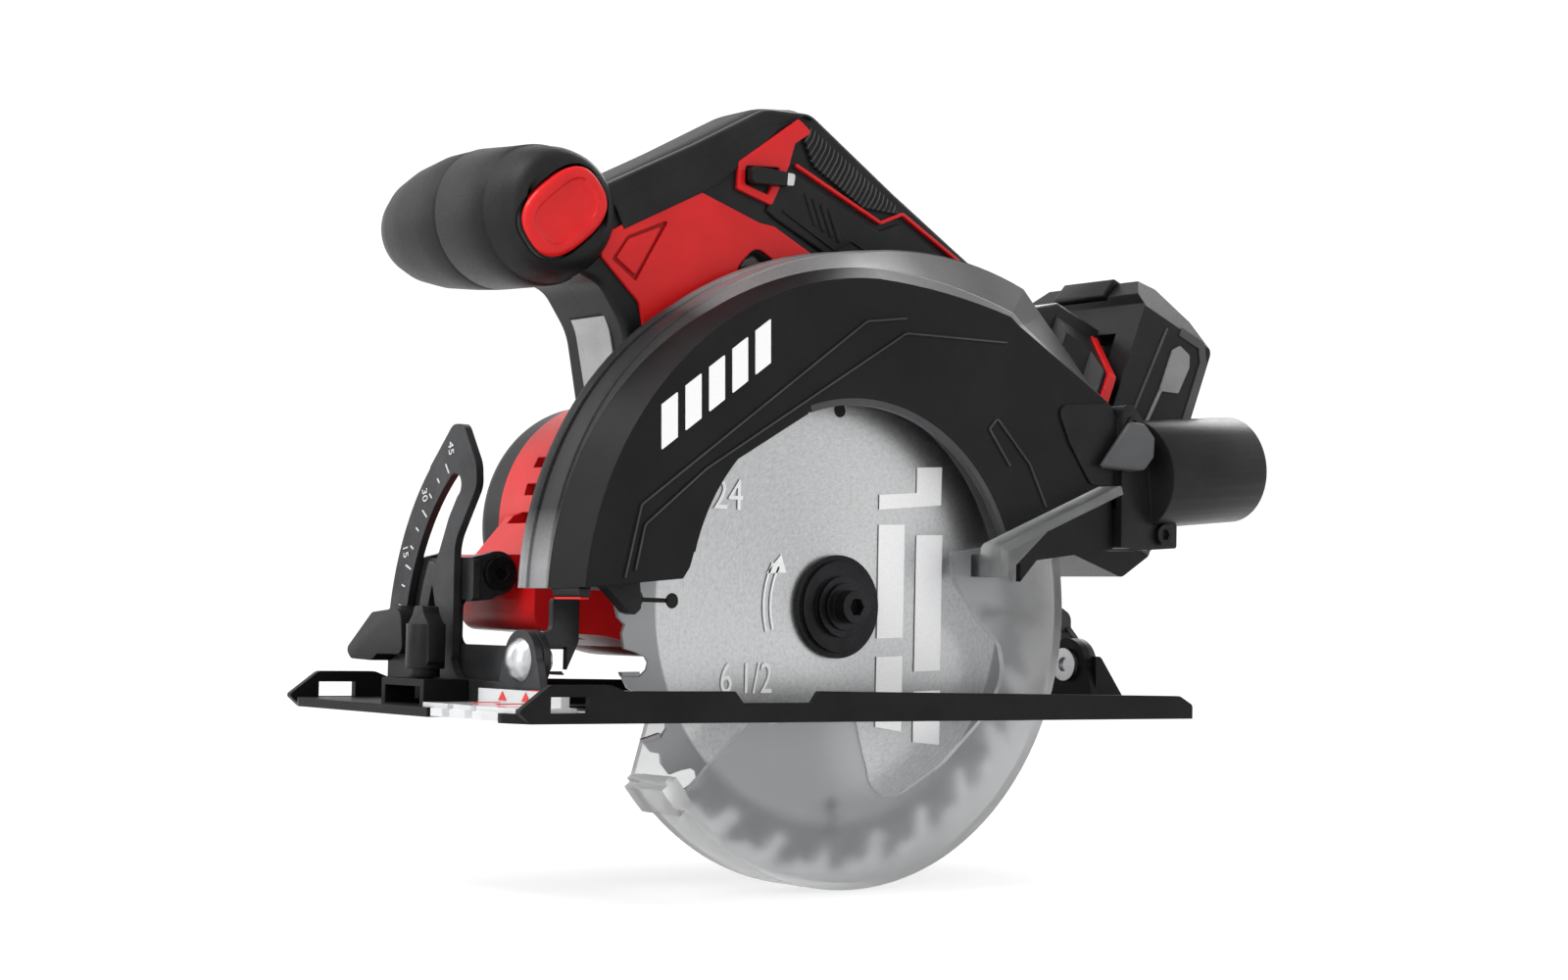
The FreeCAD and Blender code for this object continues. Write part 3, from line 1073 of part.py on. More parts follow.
def trigger_slot():
    """Mouth under the handle for the trigger."""
    x, z = TRIGGER_PIVOT
    return prism_xz([(x - 4.2, z - 1, 1), (x - 3.4, z - 18), (x + 38, z - 42), (x + 40, z - 16),
                     (x + 32, z - 1),
                     (x + 8, z + 7, 2), (x, z + 5, 2)],
                    HANDLE_MID_Y - 8.4, HANDLE_MID_Y + 8.4)


def trigger_pin():
    return cyl_y(*TRIGGER_PIVOT, 2.0, HANDLE_NEAR_Y + 1.5, HANDLE_FAR_Y - 1.5)


def switch_body():
    """Trigger switch inside the grip."""
    return prism_xz([(6, 161, 1), (12, 172, 1), (40, 156, 1), (33, 143.5, 1)], HANDLE_MID_Y - 7,
                    HANDLE_MID_Y + 7)


CONTACTS_Y = (-6.5, 0.0, 6.5)


def terminal_block():
    """Plastic block with blade contacts that reach into the pack."""
    block = tilted_block(-30, 0, -8, -0.6, HANDLE_MID_Y - 10, HANDLE_MID_Y + 10)
    contacts = [tilted_block(-26, -4, -1, 4.6, HANDLE_MID_Y + y - 0.4, HANDLE_MID_Y + y + 0.4)
                for y in CONTACTS_Y]
    return join([block] + contacts)


def housing_screws():
    spots = [(-62, 149), (-27, 110), (70, 128), (90, 122), (68, 74)]
    return Part.makeCompound([screw(vec(x, HANDLE_FAR_Y - 1.0, z), vec(0, -1, 0), 3.2, 1.4, 1.5, 12)
                              for x, z in spots])


# ---------------------------------------------------------------- battery
def pack_case():
    """Battery case, faceted, with the rail channel and contact slots in its front face."""
    y0, y1 = PACK_NEAR_Y, PACK_FAR_Y
    profile = [(PACK_BOTTOM, 3), (PACK_TOP - 12, 3), (PACK_TOP - 9, 0.8), (PACK_TOP - 2, 4), (PACK_TOP, 14),
               (38.0, 30.5, 3), (29, PACK_DEPTH, 3),
               (-50, PACK_DEPTH, 3), (PACK_BOTTOM + 2, 30, 3)]
    case = pack_prism(profile, y0, y1)
    for side in (-1, 1):
        y_edge = HANDLE_MID_Y + side * PACK_HALF
        wedge = [(y_edge + side * 0.5, 0), (y_edge - side * 11, 0), (y_edge + side * 0.5, 14)]
        case = case.cut(ridge_wedge(wedge))
    channel = tilted_block(PACK_BOTTOM - 1, 20, -1, 7.5, HANDLE_MID_Y - 21.5, HANDLE_MID_Y + 21.5)
    tongue = tilted_block(PACK_BOTTOM, 20, 1.0, 7.6, HANDLE_MID_Y - 12.5, HANDLE_MID_Y + 12.5)
    case = case.cut(channel)
    case = join([case, tongue])
    for y in CONTACTS_Y:
        case = case.cut(tilted_block(-66, -2, -1, 6, HANDLE_MID_Y + y - 1.0, HANDLE_MID_Y + y + 1.0))
    hollow = pack_prism([(-58, 10), (28, 10), (24, 35), (-48, 35)], y0 + 3, y1 - 3)
    latch_pocket = tilted_block(33.2, 50, -4, 9.4, HANDLE_MID_Y - 13.4, HANDLE_MID_Y + 13.4)
    return largest(case.cut(hollow).cut(latch_pocket))


def ridge_wedge(corners):
    """Corner facet at the top of the pack: (y, drop) triangle swept along the pack's depth."""
    points = []
    for y, drop in corners:
        x, z = pack_point(PACK_TOP + 0.5 - drop, -5)
        points.append(vec(x, y, z))
    face = Part.Face(Part.makePolygon(points + points[:1]))
    far_x, far_z = pack_point(0, 60)
    near_x, near_z = pack_point(0, 0)
    return face.extrude(vec(far_x - near_x, 0, far_z - near_z))


def pack_cells():
    """Cells across the pack, side by side."""
    return Part.makeCompound([cyl_y(*pack_point(-40 + 18.6 * k, 22), 9.0, PACK_NEAR_Y + 3.5, PACK_FAR_Y - 3.5)
                              for k in range(4)])


def latch_buttons():
    """Push latch at the top of the pack."""
    return pack_prism([(33.6, -1.4, 1), (42, 1.6, 1), (42, 6.4), (33.6, 6.4)], HANDLE_MID_Y - 13,
                      HANDLE_MID_Y + 13)


def pack_label():
    """Grey side plates on the pack."""
    plates = []
    for y0, y1 in ((PACK_NEAR_Y - 0.5, PACK_NEAR_Y), (PACK_FAR_Y, PACK_FAR_Y + 0.5)):
        plates.append(pack_prism([(-44, 24, 2), (6, 24, 2), (16, 27, 2), (18, 33, 2), (12, 36, 2),
                                  (-44, 36, 2)], y0, y1))
    return Part.makeCompound(plates)


# ---------------------------------------------------------------- controls on the motor side
def depth_bolt_point():
    return polar(DEPTH_X, DEPTH_Z, ARC_R, ARC_BOLT_ANGLE)


def depth_bolt():
    x, z = depth_bolt_point()
    return join([cyl_y(x, z, 3.0, ARC_Y0 - 0.6, 24.4), cyl_y(x, z, 5.0, ARC_Y0 - 1.6, ARC_Y0 - GAP)])


def depth_lever():
    """Clamp lever for the depth of cut, on the motor side of the lower bar."""
    x, z = depth_bolt_point()
    y0 = HANDLE_FAR_Y + GAP
    hub = cyl_y(x, z, 8.0, y0, y0 + 8)
    arm = prism_xz([(x - 2, z + 6, 2), (x - 6, z - 4, 2), (x - 40, z - 14, 4), (x - 42, z - 6, 4),
                    (x - 12, z + 6, 3)], y0 + 2.5, y0 + 7.5)
    return join([hub, arm]).cut(cyl_y(x, z, 3.0 + FIT, 0, 40))


def depth_block(y0, y1):
    """Foot of the lower bar that carries the depth clamp bolt."""
    x, z = depth_bolt_point()
    return prism_xz([(x - 12, z - 8, 3), (x + 6, z - 8, 3), (x + 9, z + 12), (x - 14, z + 12)], y0, y1)


SPINDLE_LOCK_X, SPINDLE_LOCK_Z = 28.0, 74.0


def spindle_lock():
    """Push button that holds the shaft for a blade change."""
    x, z = SPINDLE_LOCK_X, SPINDLE_LOCK_Z
    return join([cyl_y(x, z, 6.0, HANDLE_FAR_Y + 3.4, HANDLE_FAR_Y + 8),
                 cyl_y(x, z, 3.5, HANDLE_FAR_Y - 8, HANDLE_FAR_Y + 4)])


# ---------------------------------------------------------------- write every sub-part
os.makedirs("parts", exist_ok=True)

blade_body = blade()
guard_body, guard_cover_raw = upper_guard_parts()
port = dust_port().cut(port_screws())
bezels = [lock_bezel(HANDLE_NEAR_Y - SKIN - 0.3, HANDLE_NEAR_Y),
          lock_bezel(HANDLE_FAR_Y, HANDLE_FAR_Y + SKIN + 0.3)]
soft = [spine_cover(), grip_cover()]
bezels = [b.cut(soft) for b in bezels]
panels = [side_panel(HANDLE_NEAR_Y - SKIN, HANDLE_NEAR_Y), side_panel(HANDLE_FAR_Y, HANDLE_FAR_Y + SKIN)]
panels = [largest(p.cut(soft + bezels)) for p in panels]
shell_near, shell_far = housing_parts()
ridges = [ridge([(-88.2, 41.6), (-83.0, 63.2), (-0.1, 123.8), (15.7, 126.0)], 1.0, GUARD_NEAR_Y - 0.6,
                GUARD_NEAR_Y + 0.5),
          ridge([(-84.6, 44.0), (-81.6, 57.4), (-59.9, 75.0), (15.8, 121.3), (58.0, 121.6)], 1.0,
                GUARD_NEAR_Y - 0.6, GUARD_NEAR_Y + 0.5)]

export("shoe", shoe())
export("bevel_quadrant", bevel_quadrant())
export("rear_bevel_lug", rear_bevel_lug())
export("base_rivets", Part.makeCompound(shoe_rivets().Solids + bevel_pins().Solids))
export("cut_line_insert", cut_line_insert())
export("fence_screw", fence_screw())
export("tilt_bracket", tilt_bracket())
export("tilt_pins", Part.makeCompound([depth_pin(), bevel_clamp_bolt()]))
export("bevel_lever", bevel_lever())
export("rear_tilt_bracket", rear_tilt_bracket())
export("blade", blade_body)
export("carbide_tips", carbide_tips())
export("spindle", spindle())
export("outer_flange", outer_flange())
export("arbor_bolt", arbor_bolt())
export("driven_gear", driven_gear())
export("bearings", Part.makeCompound([bearing(0, ARBOR_Z, 14.0, 6.0 + FIT, -35.0, -27.0),
                                      bearing(0, ARBOR_Z, 9.5, 6.0 + FIT, -9.0, -5.2),
                                      bearing(MOTOR_X, MOTOR_Z, 8.0, 4.0 + FIT, -8.6, -4.8),
                                      bearing(MOTOR_X, MOTOR_Z, 8.0, 4.0 + FIT, 56.5, 63.0),
                                      retaining_ring()]))
export("upper_guard", largest(guard_body.cut(port)))
guard_cover = largest(join([largest(guard_cover_raw)] + ridges).cut(port))
export("guard_cover", guard_cover)
export("guard_bumper", guard_bumper())
export("guard_lip", guard_lip(guard_cover))
export("lower_guard", lower_guard())
export("guard_lever", guard_lever())
export("return_spring", return_spring())
export("dust_port", port)
export("gear_case", gear_case())
export("gear_case_cover", gear_case_cover())
export("motor_housing", motor_housing())
export("motor_end_cap", motor_end_cap())
export("motor_can", motor_can())
export("armature", armature())
export("windings", windings())
export("motor_shaft", join([motor_shaft(), pinion()]))
export("commutator", commutator())
export("cooling_fan", cooling_fan())
export("brush_gear", brush_gear())
export("carbon_brushes", brush_blocks())
export("housing_near", shell_near)
export("housing_far", shell_far)
export("foot_shroud", foot_shroud())
export("front_handle", front_barrel())
export("front_handle_cap", barrel_cap())
export("column_trim", column_trim())
export("spine_cover", spine_cover())
export("grip_cover", grip_cover())
export("grip_panels", Part.makeCompound(panels))
export("lock_bezels", Part.makeCompound(bezels))
export("lock_off", lock_off())
export("trigger", trigger())
export("switch_body", Part.makeCompound([switch_body(), terminal_block()]))
export("body_screws", Part.makeCompound([port_screws(), housing_screws(), trigger_pin()]))
export("spindle_lock", spindle_lock())
export("battery_cells", pack_cells())
export("battery_labels", pack_label())
export("battery_case", pack_case())
export("battery_latch", latch_buttons())
export("depth_bolt", depth_bolt())
export("depth_lever", depth_lever())
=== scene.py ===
import bpy
import bmesh
import json
import math
from mathutils import Matrix, Vector


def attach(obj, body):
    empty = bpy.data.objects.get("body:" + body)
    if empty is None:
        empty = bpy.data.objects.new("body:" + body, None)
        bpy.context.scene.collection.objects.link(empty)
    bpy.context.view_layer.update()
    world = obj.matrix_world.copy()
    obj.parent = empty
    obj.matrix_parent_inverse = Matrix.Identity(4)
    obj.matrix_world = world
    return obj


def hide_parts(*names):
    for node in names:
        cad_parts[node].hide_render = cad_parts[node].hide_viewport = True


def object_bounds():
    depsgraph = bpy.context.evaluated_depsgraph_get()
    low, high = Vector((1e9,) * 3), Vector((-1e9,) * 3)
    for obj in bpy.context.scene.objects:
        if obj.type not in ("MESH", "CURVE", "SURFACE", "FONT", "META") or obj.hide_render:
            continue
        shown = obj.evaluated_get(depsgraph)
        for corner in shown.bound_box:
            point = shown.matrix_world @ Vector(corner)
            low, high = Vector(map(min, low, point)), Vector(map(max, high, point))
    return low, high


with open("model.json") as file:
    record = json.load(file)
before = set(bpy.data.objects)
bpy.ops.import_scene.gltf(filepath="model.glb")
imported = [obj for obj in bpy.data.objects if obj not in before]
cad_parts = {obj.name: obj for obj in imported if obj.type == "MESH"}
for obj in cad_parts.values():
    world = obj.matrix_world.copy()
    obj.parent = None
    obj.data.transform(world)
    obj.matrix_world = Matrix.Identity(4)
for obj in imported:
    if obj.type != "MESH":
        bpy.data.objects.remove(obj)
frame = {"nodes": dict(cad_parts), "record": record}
cad_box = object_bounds()
record = frame["record"]

MM = 0.001                         # drawings are in millimetres, the scene in metres

# ------------------------------------------------------------------ sizes, in millimetres
ARBOR_Z = 34.8
BLADE_Y = -43.0
BLADE_FACE_Y = -43.95              # near face of the blade's plate
GUARD_NEAR_Y = -57.0
HANDLE_MID_Y = -2.0
HANDLE_HALF = 17.5                 # half thickness of the red and black clamshell
HANDLE_NEAR_Y = HANDLE_MID_Y - HANDLE_HALF
HANDLE_FAR_Y = HANDLE_MID_Y + HANDLE_HALF
SKIN = 1.3                         # soft covers stand this far off the clamshell
PACK_HALF = 32.0
PACK_ORIGIN = (129.0, 116.0)
PACK_TILT = math.radians(22.0)
BEVEL_Y, BEVEL_Z = -30.0, 17.0
QUAD_FACE_X = -106.5               # front face of the bevel quadrant
CLAMP_ANGLE = 7.0                  # where the bevel clamp stands at a square cut, degrees
BARREL_X, BARREL_Z = -90.5, 153.0  # axis of the front handle
INK = 0.12                         # printed marks stand this far off
SHADE_FILL_HALF = 0.5                    # half thickness of the dark fill in the blade's slots, which is painted shade
CORNER_STEPS = 5                   # pieces in the curve that rounds a corner


# ------------------------------------------------------------------ node helpers for materials
class Nodes:
    """Short way to build one procedural material."""

    def __init__(self, name):
        self.material = bpy.data.materials.new(name)
        self.material.use_nodes = True
        self.tree = self.material.node_tree
        self.tree.nodes.clear()
        self.out = self.tree.nodes.new("ShaderNodeOutputMaterial")
        self.shader = self.tree.nodes.new("ShaderNodeBsdfPrincipled")
        self.tree.links.new(self.shader.outputs[0], self.out.inputs[0])
        self.coords = self.tree.nodes.new("ShaderNodeTexCoord")

    def node(self, kind, **settings):
        made = self.tree.nodes.new(kind)
        for key, value in settings.items():
            setattr(made, key, value)
        return made

    def link(self, source, target):
        self.tree.links.new(source, target)

    def mapping(self, scale):
        made = self.node("ShaderNodeMapping")
        made.inputs["Scale"].default_value = scale
        self.link(self.coords.outputs["Object"], made.inputs["Vector"])
        return made.outputs[0]

    def noise(self, vector, scale, detail=4.0, rough=0.6):
        made = self.node("ShaderNodeTexNoise")
        made.inputs["Scale"].default_value = scale
        made.inputs["Detail"].default_value = detail
        made.inputs["Roughness"].default_value = rough
        self.link(vector, made.inputs["Vector"])
        return made.outputs["Fac"]

    def ramp(self, fac, stops):
        made = self.node("ShaderNodeValToRGB")
        band = made.color_ramp
        while len(band.elements) < len(stops):
            band.elements.new(0.5)
        for element, (place, colour) in zip(band.elements, stops):
            element.position = place
            element.color = tuple(colour) + (1.0,)
        self.link(fac, made.inputs[0])
        return made.outputs[0]

    def grey(self, fac, low, high, start=0.3, end=0.7):
        return self.ramp(fac, [(start, (low, low, low)), (end, (high, high, high))])

    def maths(self, operation, a, b=None):
        made = self.node("ShaderNodeMath", operation=operation)
        for socket, value in zip(made.inputs, (a, b)):
            if value is None:
                continue
            if isinstance(value, (int, float)):
                socket.default_value = value
            else:
                self.link(value, socket)
        return made.outputs[0]

    def between(self, value, low, high):
        """0 at low, 1 at high, straight between."""
        made = self.node("ShaderNodeMapRange")
        self.link(value, made.inputs["Value"])
        made.inputs["From Min"].default_value = low
        made.inputs["From Max"].default_value = high
        return made.outputs[0]

    def mix(self, fac, a, b):
        made = self.node("ShaderNodeMix", data_type="RGBA")
        for socket, value in ((made.inputs[0], fac), (made.inputs[6], a), (made.inputs[7], b)):
            if isinstance(value, (int, float)):
                socket.default_value = value
            elif isinstance(value, tuple):
                socket.default_value = value + (1.0,)
            else:
                self.link(value, socket)
        return made.outputs[2]

    def split(self, vector):
        made = self.node("ShaderNodeSeparateXYZ")
        self.link(vector, made.inputs[0])
        return made.outputs

    def join(self, x, y):
        made = self.node("ShaderNodeCombineXYZ")
        self.link(x, made.inputs[0])
        self.link(y, made.inputs[1])
        return made.outputs[0]

    def bump(self, height, strength, distance, radius=0.0):
        """Bump over a slightly rounded edge."""
        made = self.node("ShaderNodeBump")
        made.inputs["Strength"].default_value = strength
        made.inputs["Distance"].default_value = distance
        self.link(height, made.inputs["Height"])
        if radius:
            edge = self.node("ShaderNodeBevel", samples=4)
            edge.inputs["Radius"].default_value = radius
            self.link(edge.outputs[0], made.inputs["Normal"])
        self.link(made.outputs[0], self.shader.inputs["Normal"])

    def set(self, **values):
        for key, value in values.items():
            socket = self.shader.inputs[key.replace("_", " ")]
            if hasattr(value, "is_output"):
                self.link(value, socket)
            elif isinstance(value, tuple):
                socket.default_value = value + (1.0,)
            else:
                socket.default_value = value


def textured(name, dark, light, rough, grain, depth, metallic=0.0, coat=0.0, edge=0.0004, shine=0.17):
    """Moulded or coated surface: cloudy colour, fine grain in the bump and the roughness."""
    m = Nodes(name)
    place = m.mapping((1, 1, 1))
    cloud = m.noise(place, 42.0, 5.0)
    fine = m.noise(place, grain, 3.0, 0.7)
    m.set(Base_Color=m.mix(m.grey(cloud, 0.0, 1.0, 0.35, 0.65), dark, light),
          Roughness=m.grey(fine, *rough),
          Metallic=metallic, Coat_Weight=coat, Coat_Roughness=0.12, Specular_IOR_Level=shine)
    m.bump(fine, depth, 0.0002, edge)
    return m.material


def brushed(name, dark, light, rough, stretch):
    """Metal with straight grain across the axis that stretch scales most."""
    m = Nodes(name)
    lines = m.noise(m.mapping(stretch), 60.0, 6.0, 0.7)
    cloud = m.noise(m.mapping((1, 1, 1)), 55.0, 4.0)
    m.set(Base_Color=m.mix(m.grey(lines, 0.0, 1.0), dark, light),
          Roughness=m.maths("ADD", m.grey(lines, *rough), m.grey(cloud, -0.03, 0.05)),
          Metallic=1.0)
    m.bump(lines, 0.12, 0.0001, 0.0003)
    return m.material


def blade_steel(name):
    """Ground disc: grain runs round the arbor, duller ring under the teeth, and a painted sheen that fans
    across it, lighter in two opposite quarters.
    """
    m = Nodes(name)
    x, _, z = m.split(m.coords.outputs["Object"])
    z = m.maths("SUBTRACT", z, ARBOR_Z * MM)
    radius = m.maths("SQRT", m.maths("ADD", m.maths("MULTIPLY", x, x), m.maths("MULTIPLY", z, z)))
    angle = m.maths("ARCTAN2", z, x)
    rings = m.noise(m.join(radius, m.maths("MULTIPLY", angle, 0.006)), 2300.0, 6.0, 0.75)
    # painted sheen: the base colour is lighter in two opposite quarters of the disc, standing in for
    # reflected light
    painted_sheen = m.maths("MULTIPLY", m.maths("ADD", m.maths("SINE", m.maths("MULTIPLY", angle, 2.0)), 1.0), 0.5)
    speck = m.noise(m.mapping((1, 1, 1)), 800.0, 4.0, 0.7)
    matte = m.between(radius, 0.0676, 0.0684)
    inner = m.mix(m.grey(rings, 0.0, 1.0), (0.34, 0.345, 0.35), (0.56, 0.565, 0.57))
    inner = m.mix(m.maths("MULTIPLY", painted_sheen, 0.45), inner, (0.66, 0.665, 0.67))
    inner = m.mix(m.grey(speck, 0.0, 0.45, 0.45, 0.7), inner, (0.30, 0.305, 0.31))
    m.set(Base_Color=m.mix(matte, inner, (0.27, 0.275, 0.28)),
          Metallic=m.maths("SUBTRACT", 1.0, m.maths("MULTIPLY", matte, 0.45)),
          Roughness=m.maths("ADD", m.grey(rings, 0.30, 0.42), m.maths("MULTIPLY", matte, 0.12)))
    m.bump(rings, 0.14, 0.00005, 0.0002)
    return m.material


def cast_guard(name):
    """Speckled coat of the guard's cast half: a painted highlight on the crown, brighter on the front foot,
    dark elsewhere.
    """
    m = Nodes(name)
    place = m.mapping((1, 1, 1))
    speck = m.noise(place, 2400.0, 2.0, 0.8)
    cloud = m.noise(place, 30.0, 4.0)
    x, _, z = m.split(m.coords.outputs["Object"])
    # painted highlight: the crown gets a bright silver coat in place of the light falling on the guard's top
    crown_highlight = m.ramp(m.between(x, -0.105, 0.095),
                   [(0.0, (0.0, 0.0, 0.0)), (0.24, (0.02, 0.02, 0.02)), (0.36, (0.9, 0.9, 0.9)),
                    (0.55, (0.75, 0.75, 0.75)), (0.68, (0.15, 0.15, 0.15)), (0.8, (0.0, 0.0, 0.0))])
    foot = m.grey(m.between(z, 0.045, 0.062), 0.75, 0.0, 0.0, 1.0)
    front = m.grey(m.between(x, -0.070, -0.055), 1.0, 0.0, 0.0, 1.0)
    # mask of the painted crown highlight joined with the brighter front foot; it also raises metallic and
    # lowers roughness there
    highlight_and_foot = m.maths("MAXIMUM", crown_highlight, m.maths("MULTIPLY", foot, front))
    dark = m.mix(m.grey(cloud, 0.0, 1.0), (0.014, 0.014, 0.015), (0.022, 0.022, 0.023))
    bright = m.mix(m.grey(cloud, 0.0, 1.0), (0.24, 0.24, 0.245), (0.32, 0.32, 0.325))
    flake = m.mix(highlight_and_foot, (0.045, 0.045, 0.047), (0.42, 0.42, 0.43))
    m.set(Base_Color=m.mix(m.grey(speck, 0.0, 0.8, 0.50, 0.66), m.mix(highlight_and_foot, dark, bright), flake),
          Metallic=m.maths("MULTIPLY", highlight_and_foot, 0.75), Specular_IOR_Level=0.12,
          Roughness=m.maths("SUBTRACT", m.grey(speck, 0.44, 0.54), m.maths("MULTIPLY", highlight_and_foot, 0.12)))
    m.bump(speck, 0.3, 0.0001, 0.0006)
    return m.material


def clear_plastic(name, tint, rough, index, clarity=1.0):
    """Clear moulding, a little cloudy, with fine scuffs."""
    m = Nodes(name)
    scuff = m.noise(m.mapping((1, 6, 14)), 90.0, 5.0, 0.75)
    cloud = m.noise(m.mapping((1, 1, 1)), 26.0, 4.0)
    pale = tuple(min(1.0, 1.06 * part) for part in tint)
    m.set(Base_Color=m.mix(m.grey(cloud, 0.0, 1.0), tint, pale),
          Roughness=m.maths("ADD", m.grey(scuff, *rough), m.grey(cloud, 0.0, 0.05)),
          Transmission_Weight=clarity, IOR=index, Coat_Weight=0.25, Coat_Roughness=0.06)
    m.bump(scuff, 0.05, 0.00005, 0.0003)
    return m.material


def ink(name, colour, rough=0.5):
    """Printed marking with slightly broken ink."""
    m = Nodes(name)
    fine = m.noise(m.mapping((1, 1, 1)), 1800.0, 3.0)
    worn = tuple(0.78 * part for part in colour)
    m.set(Base_Color=m.mix(m.grey(fine, 0.0, 0.5, 0.3, 0.8), colour, worn),
          Roughness=m.grey(fine, rough - 0.06, rough + 0.08))
    m.bump(fine, 0.05, 0.00005)
    return m.material


def backdrop(name):
    """White studio paper, faintly uneven, lit a little from within."""
    m = Nodes(name)
    soft = m.noise(m.mapping((1, 1, 1)), 3.0, 3.0)
    paper = m.mix(m.grey(soft, 0.0, 1.0), (0.38, 0.38, 0.38), (0.41, 0.41, 0.41))
    m.set(Base_Color=paper, Roughness=0.9, Emission_Color=paper, Emission_Strength=1.75)
    return m.material


BLACK, SOFT = (0.0055, 0.0055, 0.0060), (0.0115, 0.0115, 0.0125)
MATERIALS = {
    "shoe_black": textured("shoe_black", (0.005, 0.005, 0.0055), (0.009, 0.009, 0.010), (0.34, 0.46), 900.0,
                           0.12,
                           shine=0.10),
    "bracket_grey": textured("bracket_grey", (0.020, 0.0205, 0.022), (0.045, 0.046, 0.048), (0.30, 0.46),
                             1500.0,
                             0.40, metallic=0.5),
    "steel": brushed("steel", (0.40, 0.41, 0.42), (0.60, 0.61, 0.62), (0.24, 0.36), (1, 30, 1)),
    "black_oxide": textured("black_oxide", (0.012, 0.012, 0.013), (0.026, 0.026, 0.028), (0.24, 0.38),
                            1400.0, 0.15,
                            metallic=0.8),
    "blade_steel": blade_steel("blade_steel"),
    "carbide": brushed("carbide", (0.16, 0.16, 0.17), (0.30, 0.30, 0.31), (0.28, 0.42), (1, 20, 1)),
    "guard_cast": cast_guard("guard_cast"),
    "guard_black": textured("guard_black", (0.0045, 0.0045, 0.005), (0.0075, 0.0075, 0.008), (0.30, 0.40),
                            1500.0,
                            0.12, edge=0.0005, shine=0.13),
    "guard_edge": textured("guard_edge", (0.035, 0.035, 0.037), (0.055, 0.055, 0.058), (0.28, 0.40), 1500.0,
                           0.12),
    "red_plastic": textured("red_plastic", (0.50, 0.0065, 0.008), (0.60, 0.010, 0.011), (0.28, 0.40),
                            1100.0, 0.10,
                            coat=0.12, edge=0.0007),
    "dark_red": textured("dark_red", (0.24, 0.0035, 0.004), (0.30, 0.005, 0.005), (0.4, 0.5), 1100.0, 0.10),
    "soft_black": textured("soft_black", BLACK, SOFT, (0.38, 0.54), 1500.0, 0.55, edge=0.0008),
    # lighter black for the rib crests: a painted highlight
    "rib_crest_highlight": textured("rib_crest_highlight", (0.045, 0.045, 0.047), (0.075, 0.075, 0.078), (0.34, 0.46), 1500.0,
                          0.3),
    "black_plastic": textured("black_plastic", BLACK, SOFT, (0.30, 0.44), 1500.0, 0.25, edge=0.0006),
    "light_grey": textured("light_grey", (0.30, 0.305, 0.31), (0.40, 0.405, 0.41), (0.26, 0.36), 900.0, 0.10,
                           metallic=0.3, coat=0.2),
    "label_grey": textured("label_grey", (0.13, 0.13, 0.135), (0.18, 0.18, 0.185), (0.34, 0.46), 1400.0,
                           0.12),
    "badge_grey": textured("badge_grey", (0.20, 0.20, 0.205), (0.26, 0.26, 0.265), (0.36, 0.48), 1400.0,
                           0.12),
    "pack_trim": textured("pack_trim", (0.055, 0.056, 0.058), (0.075, 0.076, 0.078), (0.32, 0.44), 1400.0,
                          0.15),
    "clear": clear_plastic("clear", (0.74, 0.745, 0.75), (0.40, 0.52), 1.42),
    "window_clear": clear_plastic("window_clear", (0.86, 0.87, 0.88), (0.05, 0.14), 1.35, 0.5),
    "aluminium": textured("aluminium", (0.42, 0.42, 0.43), (0.52, 0.52, 0.53), (0.36, 0.50), 1000.0, 0.30,
                          metallic=0.9),
    "copper": brushed("copper", (0.52, 0.20, 0.08), (0.72, 0.34, 0.16), (0.26, 0.38), (1, 1, 30)),
    "brass": brushed("brass", (0.56, 0.42, 0.18), (0.74, 0.60, 0.30), (0.24, 0.36), (1, 30, 1)),
    "carbon": textured("carbon", (0.015, 0.015, 0.015), (0.03, 0.03, 0.03), (0.5, 0.6), 1500.0, 0.2),
    "cell_wrap": textured("cell_wrap", (0.02, 0.12, 0.06), (0.03, 0.16, 0.08), (0.2, 0.3), 700.0, 0.05,
                          coat=0.4),
    "white_ink": ink("white_ink", (0.84, 0.84, 0.85), 0.42),
    "grey_ink": ink("grey_ink", (0.50, 0.50, 0.51), 0.5),
    "red_ink": ink("red_ink", (0.62, 0.02, 0.02), 0.45),
}


# ------------------------------------------------------------------ mesh helpers, in millimetres
def on_side(u, v, depth):
    """Point on an X-Z drawing, depth along Y."""
    return (u, depth, v)


def on_front(u, v, depth):
    """Point on a Y-Z drawing, depth along X."""
    return (depth, u, v)


def on_plan(u, v, depth):
    """Point on an X-Y drawing, depth along Z."""
    return (u, v, depth)


def pack_point(up, out):
    """X and Z of a point given along the battery's slide and away from its seat."""
    x = PACK_ORIGIN[0] + up * math.sin(PACK_TILT) + out * math.cos(PACK_TILT)
    z = PACK_ORIGIN[1] + up * math.cos(PACK_TILT) - out * math.sin(PACK_TILT)
    return x, z


def on_pack(up, out, depth):
    """Point on the battery's own side drawing, depth along Y."""
    x, z = pack_point(up, out)
    return (x, depth, z)


def round_corner(before, point, after, radius):
    """Points of the arc that rounds one corner."""
    p, a, b = Vector(point[:2]), Vector(before[:2]), Vector(after[:2])
    to_a, to_b = (a - p).normalized(), (b - p).normalized()
    half = to_a.angle(to_b) / 2
    if not radius or half > math.radians(88):
        return [tuple(p)]
    reach = min(radius / math.tan(half), 0.49 * (a - p).length, 0.49 * (b - p).length)
    start, end = p + to_a * reach, p + to_b * reach
    return [tuple((1 - t) ** 2 * start + 2 * t * (1 - t) * p + t ** 2 * end) for t in
            [step / CORNER_STEPS for step in range(CORNER_STEPS + 1)]]


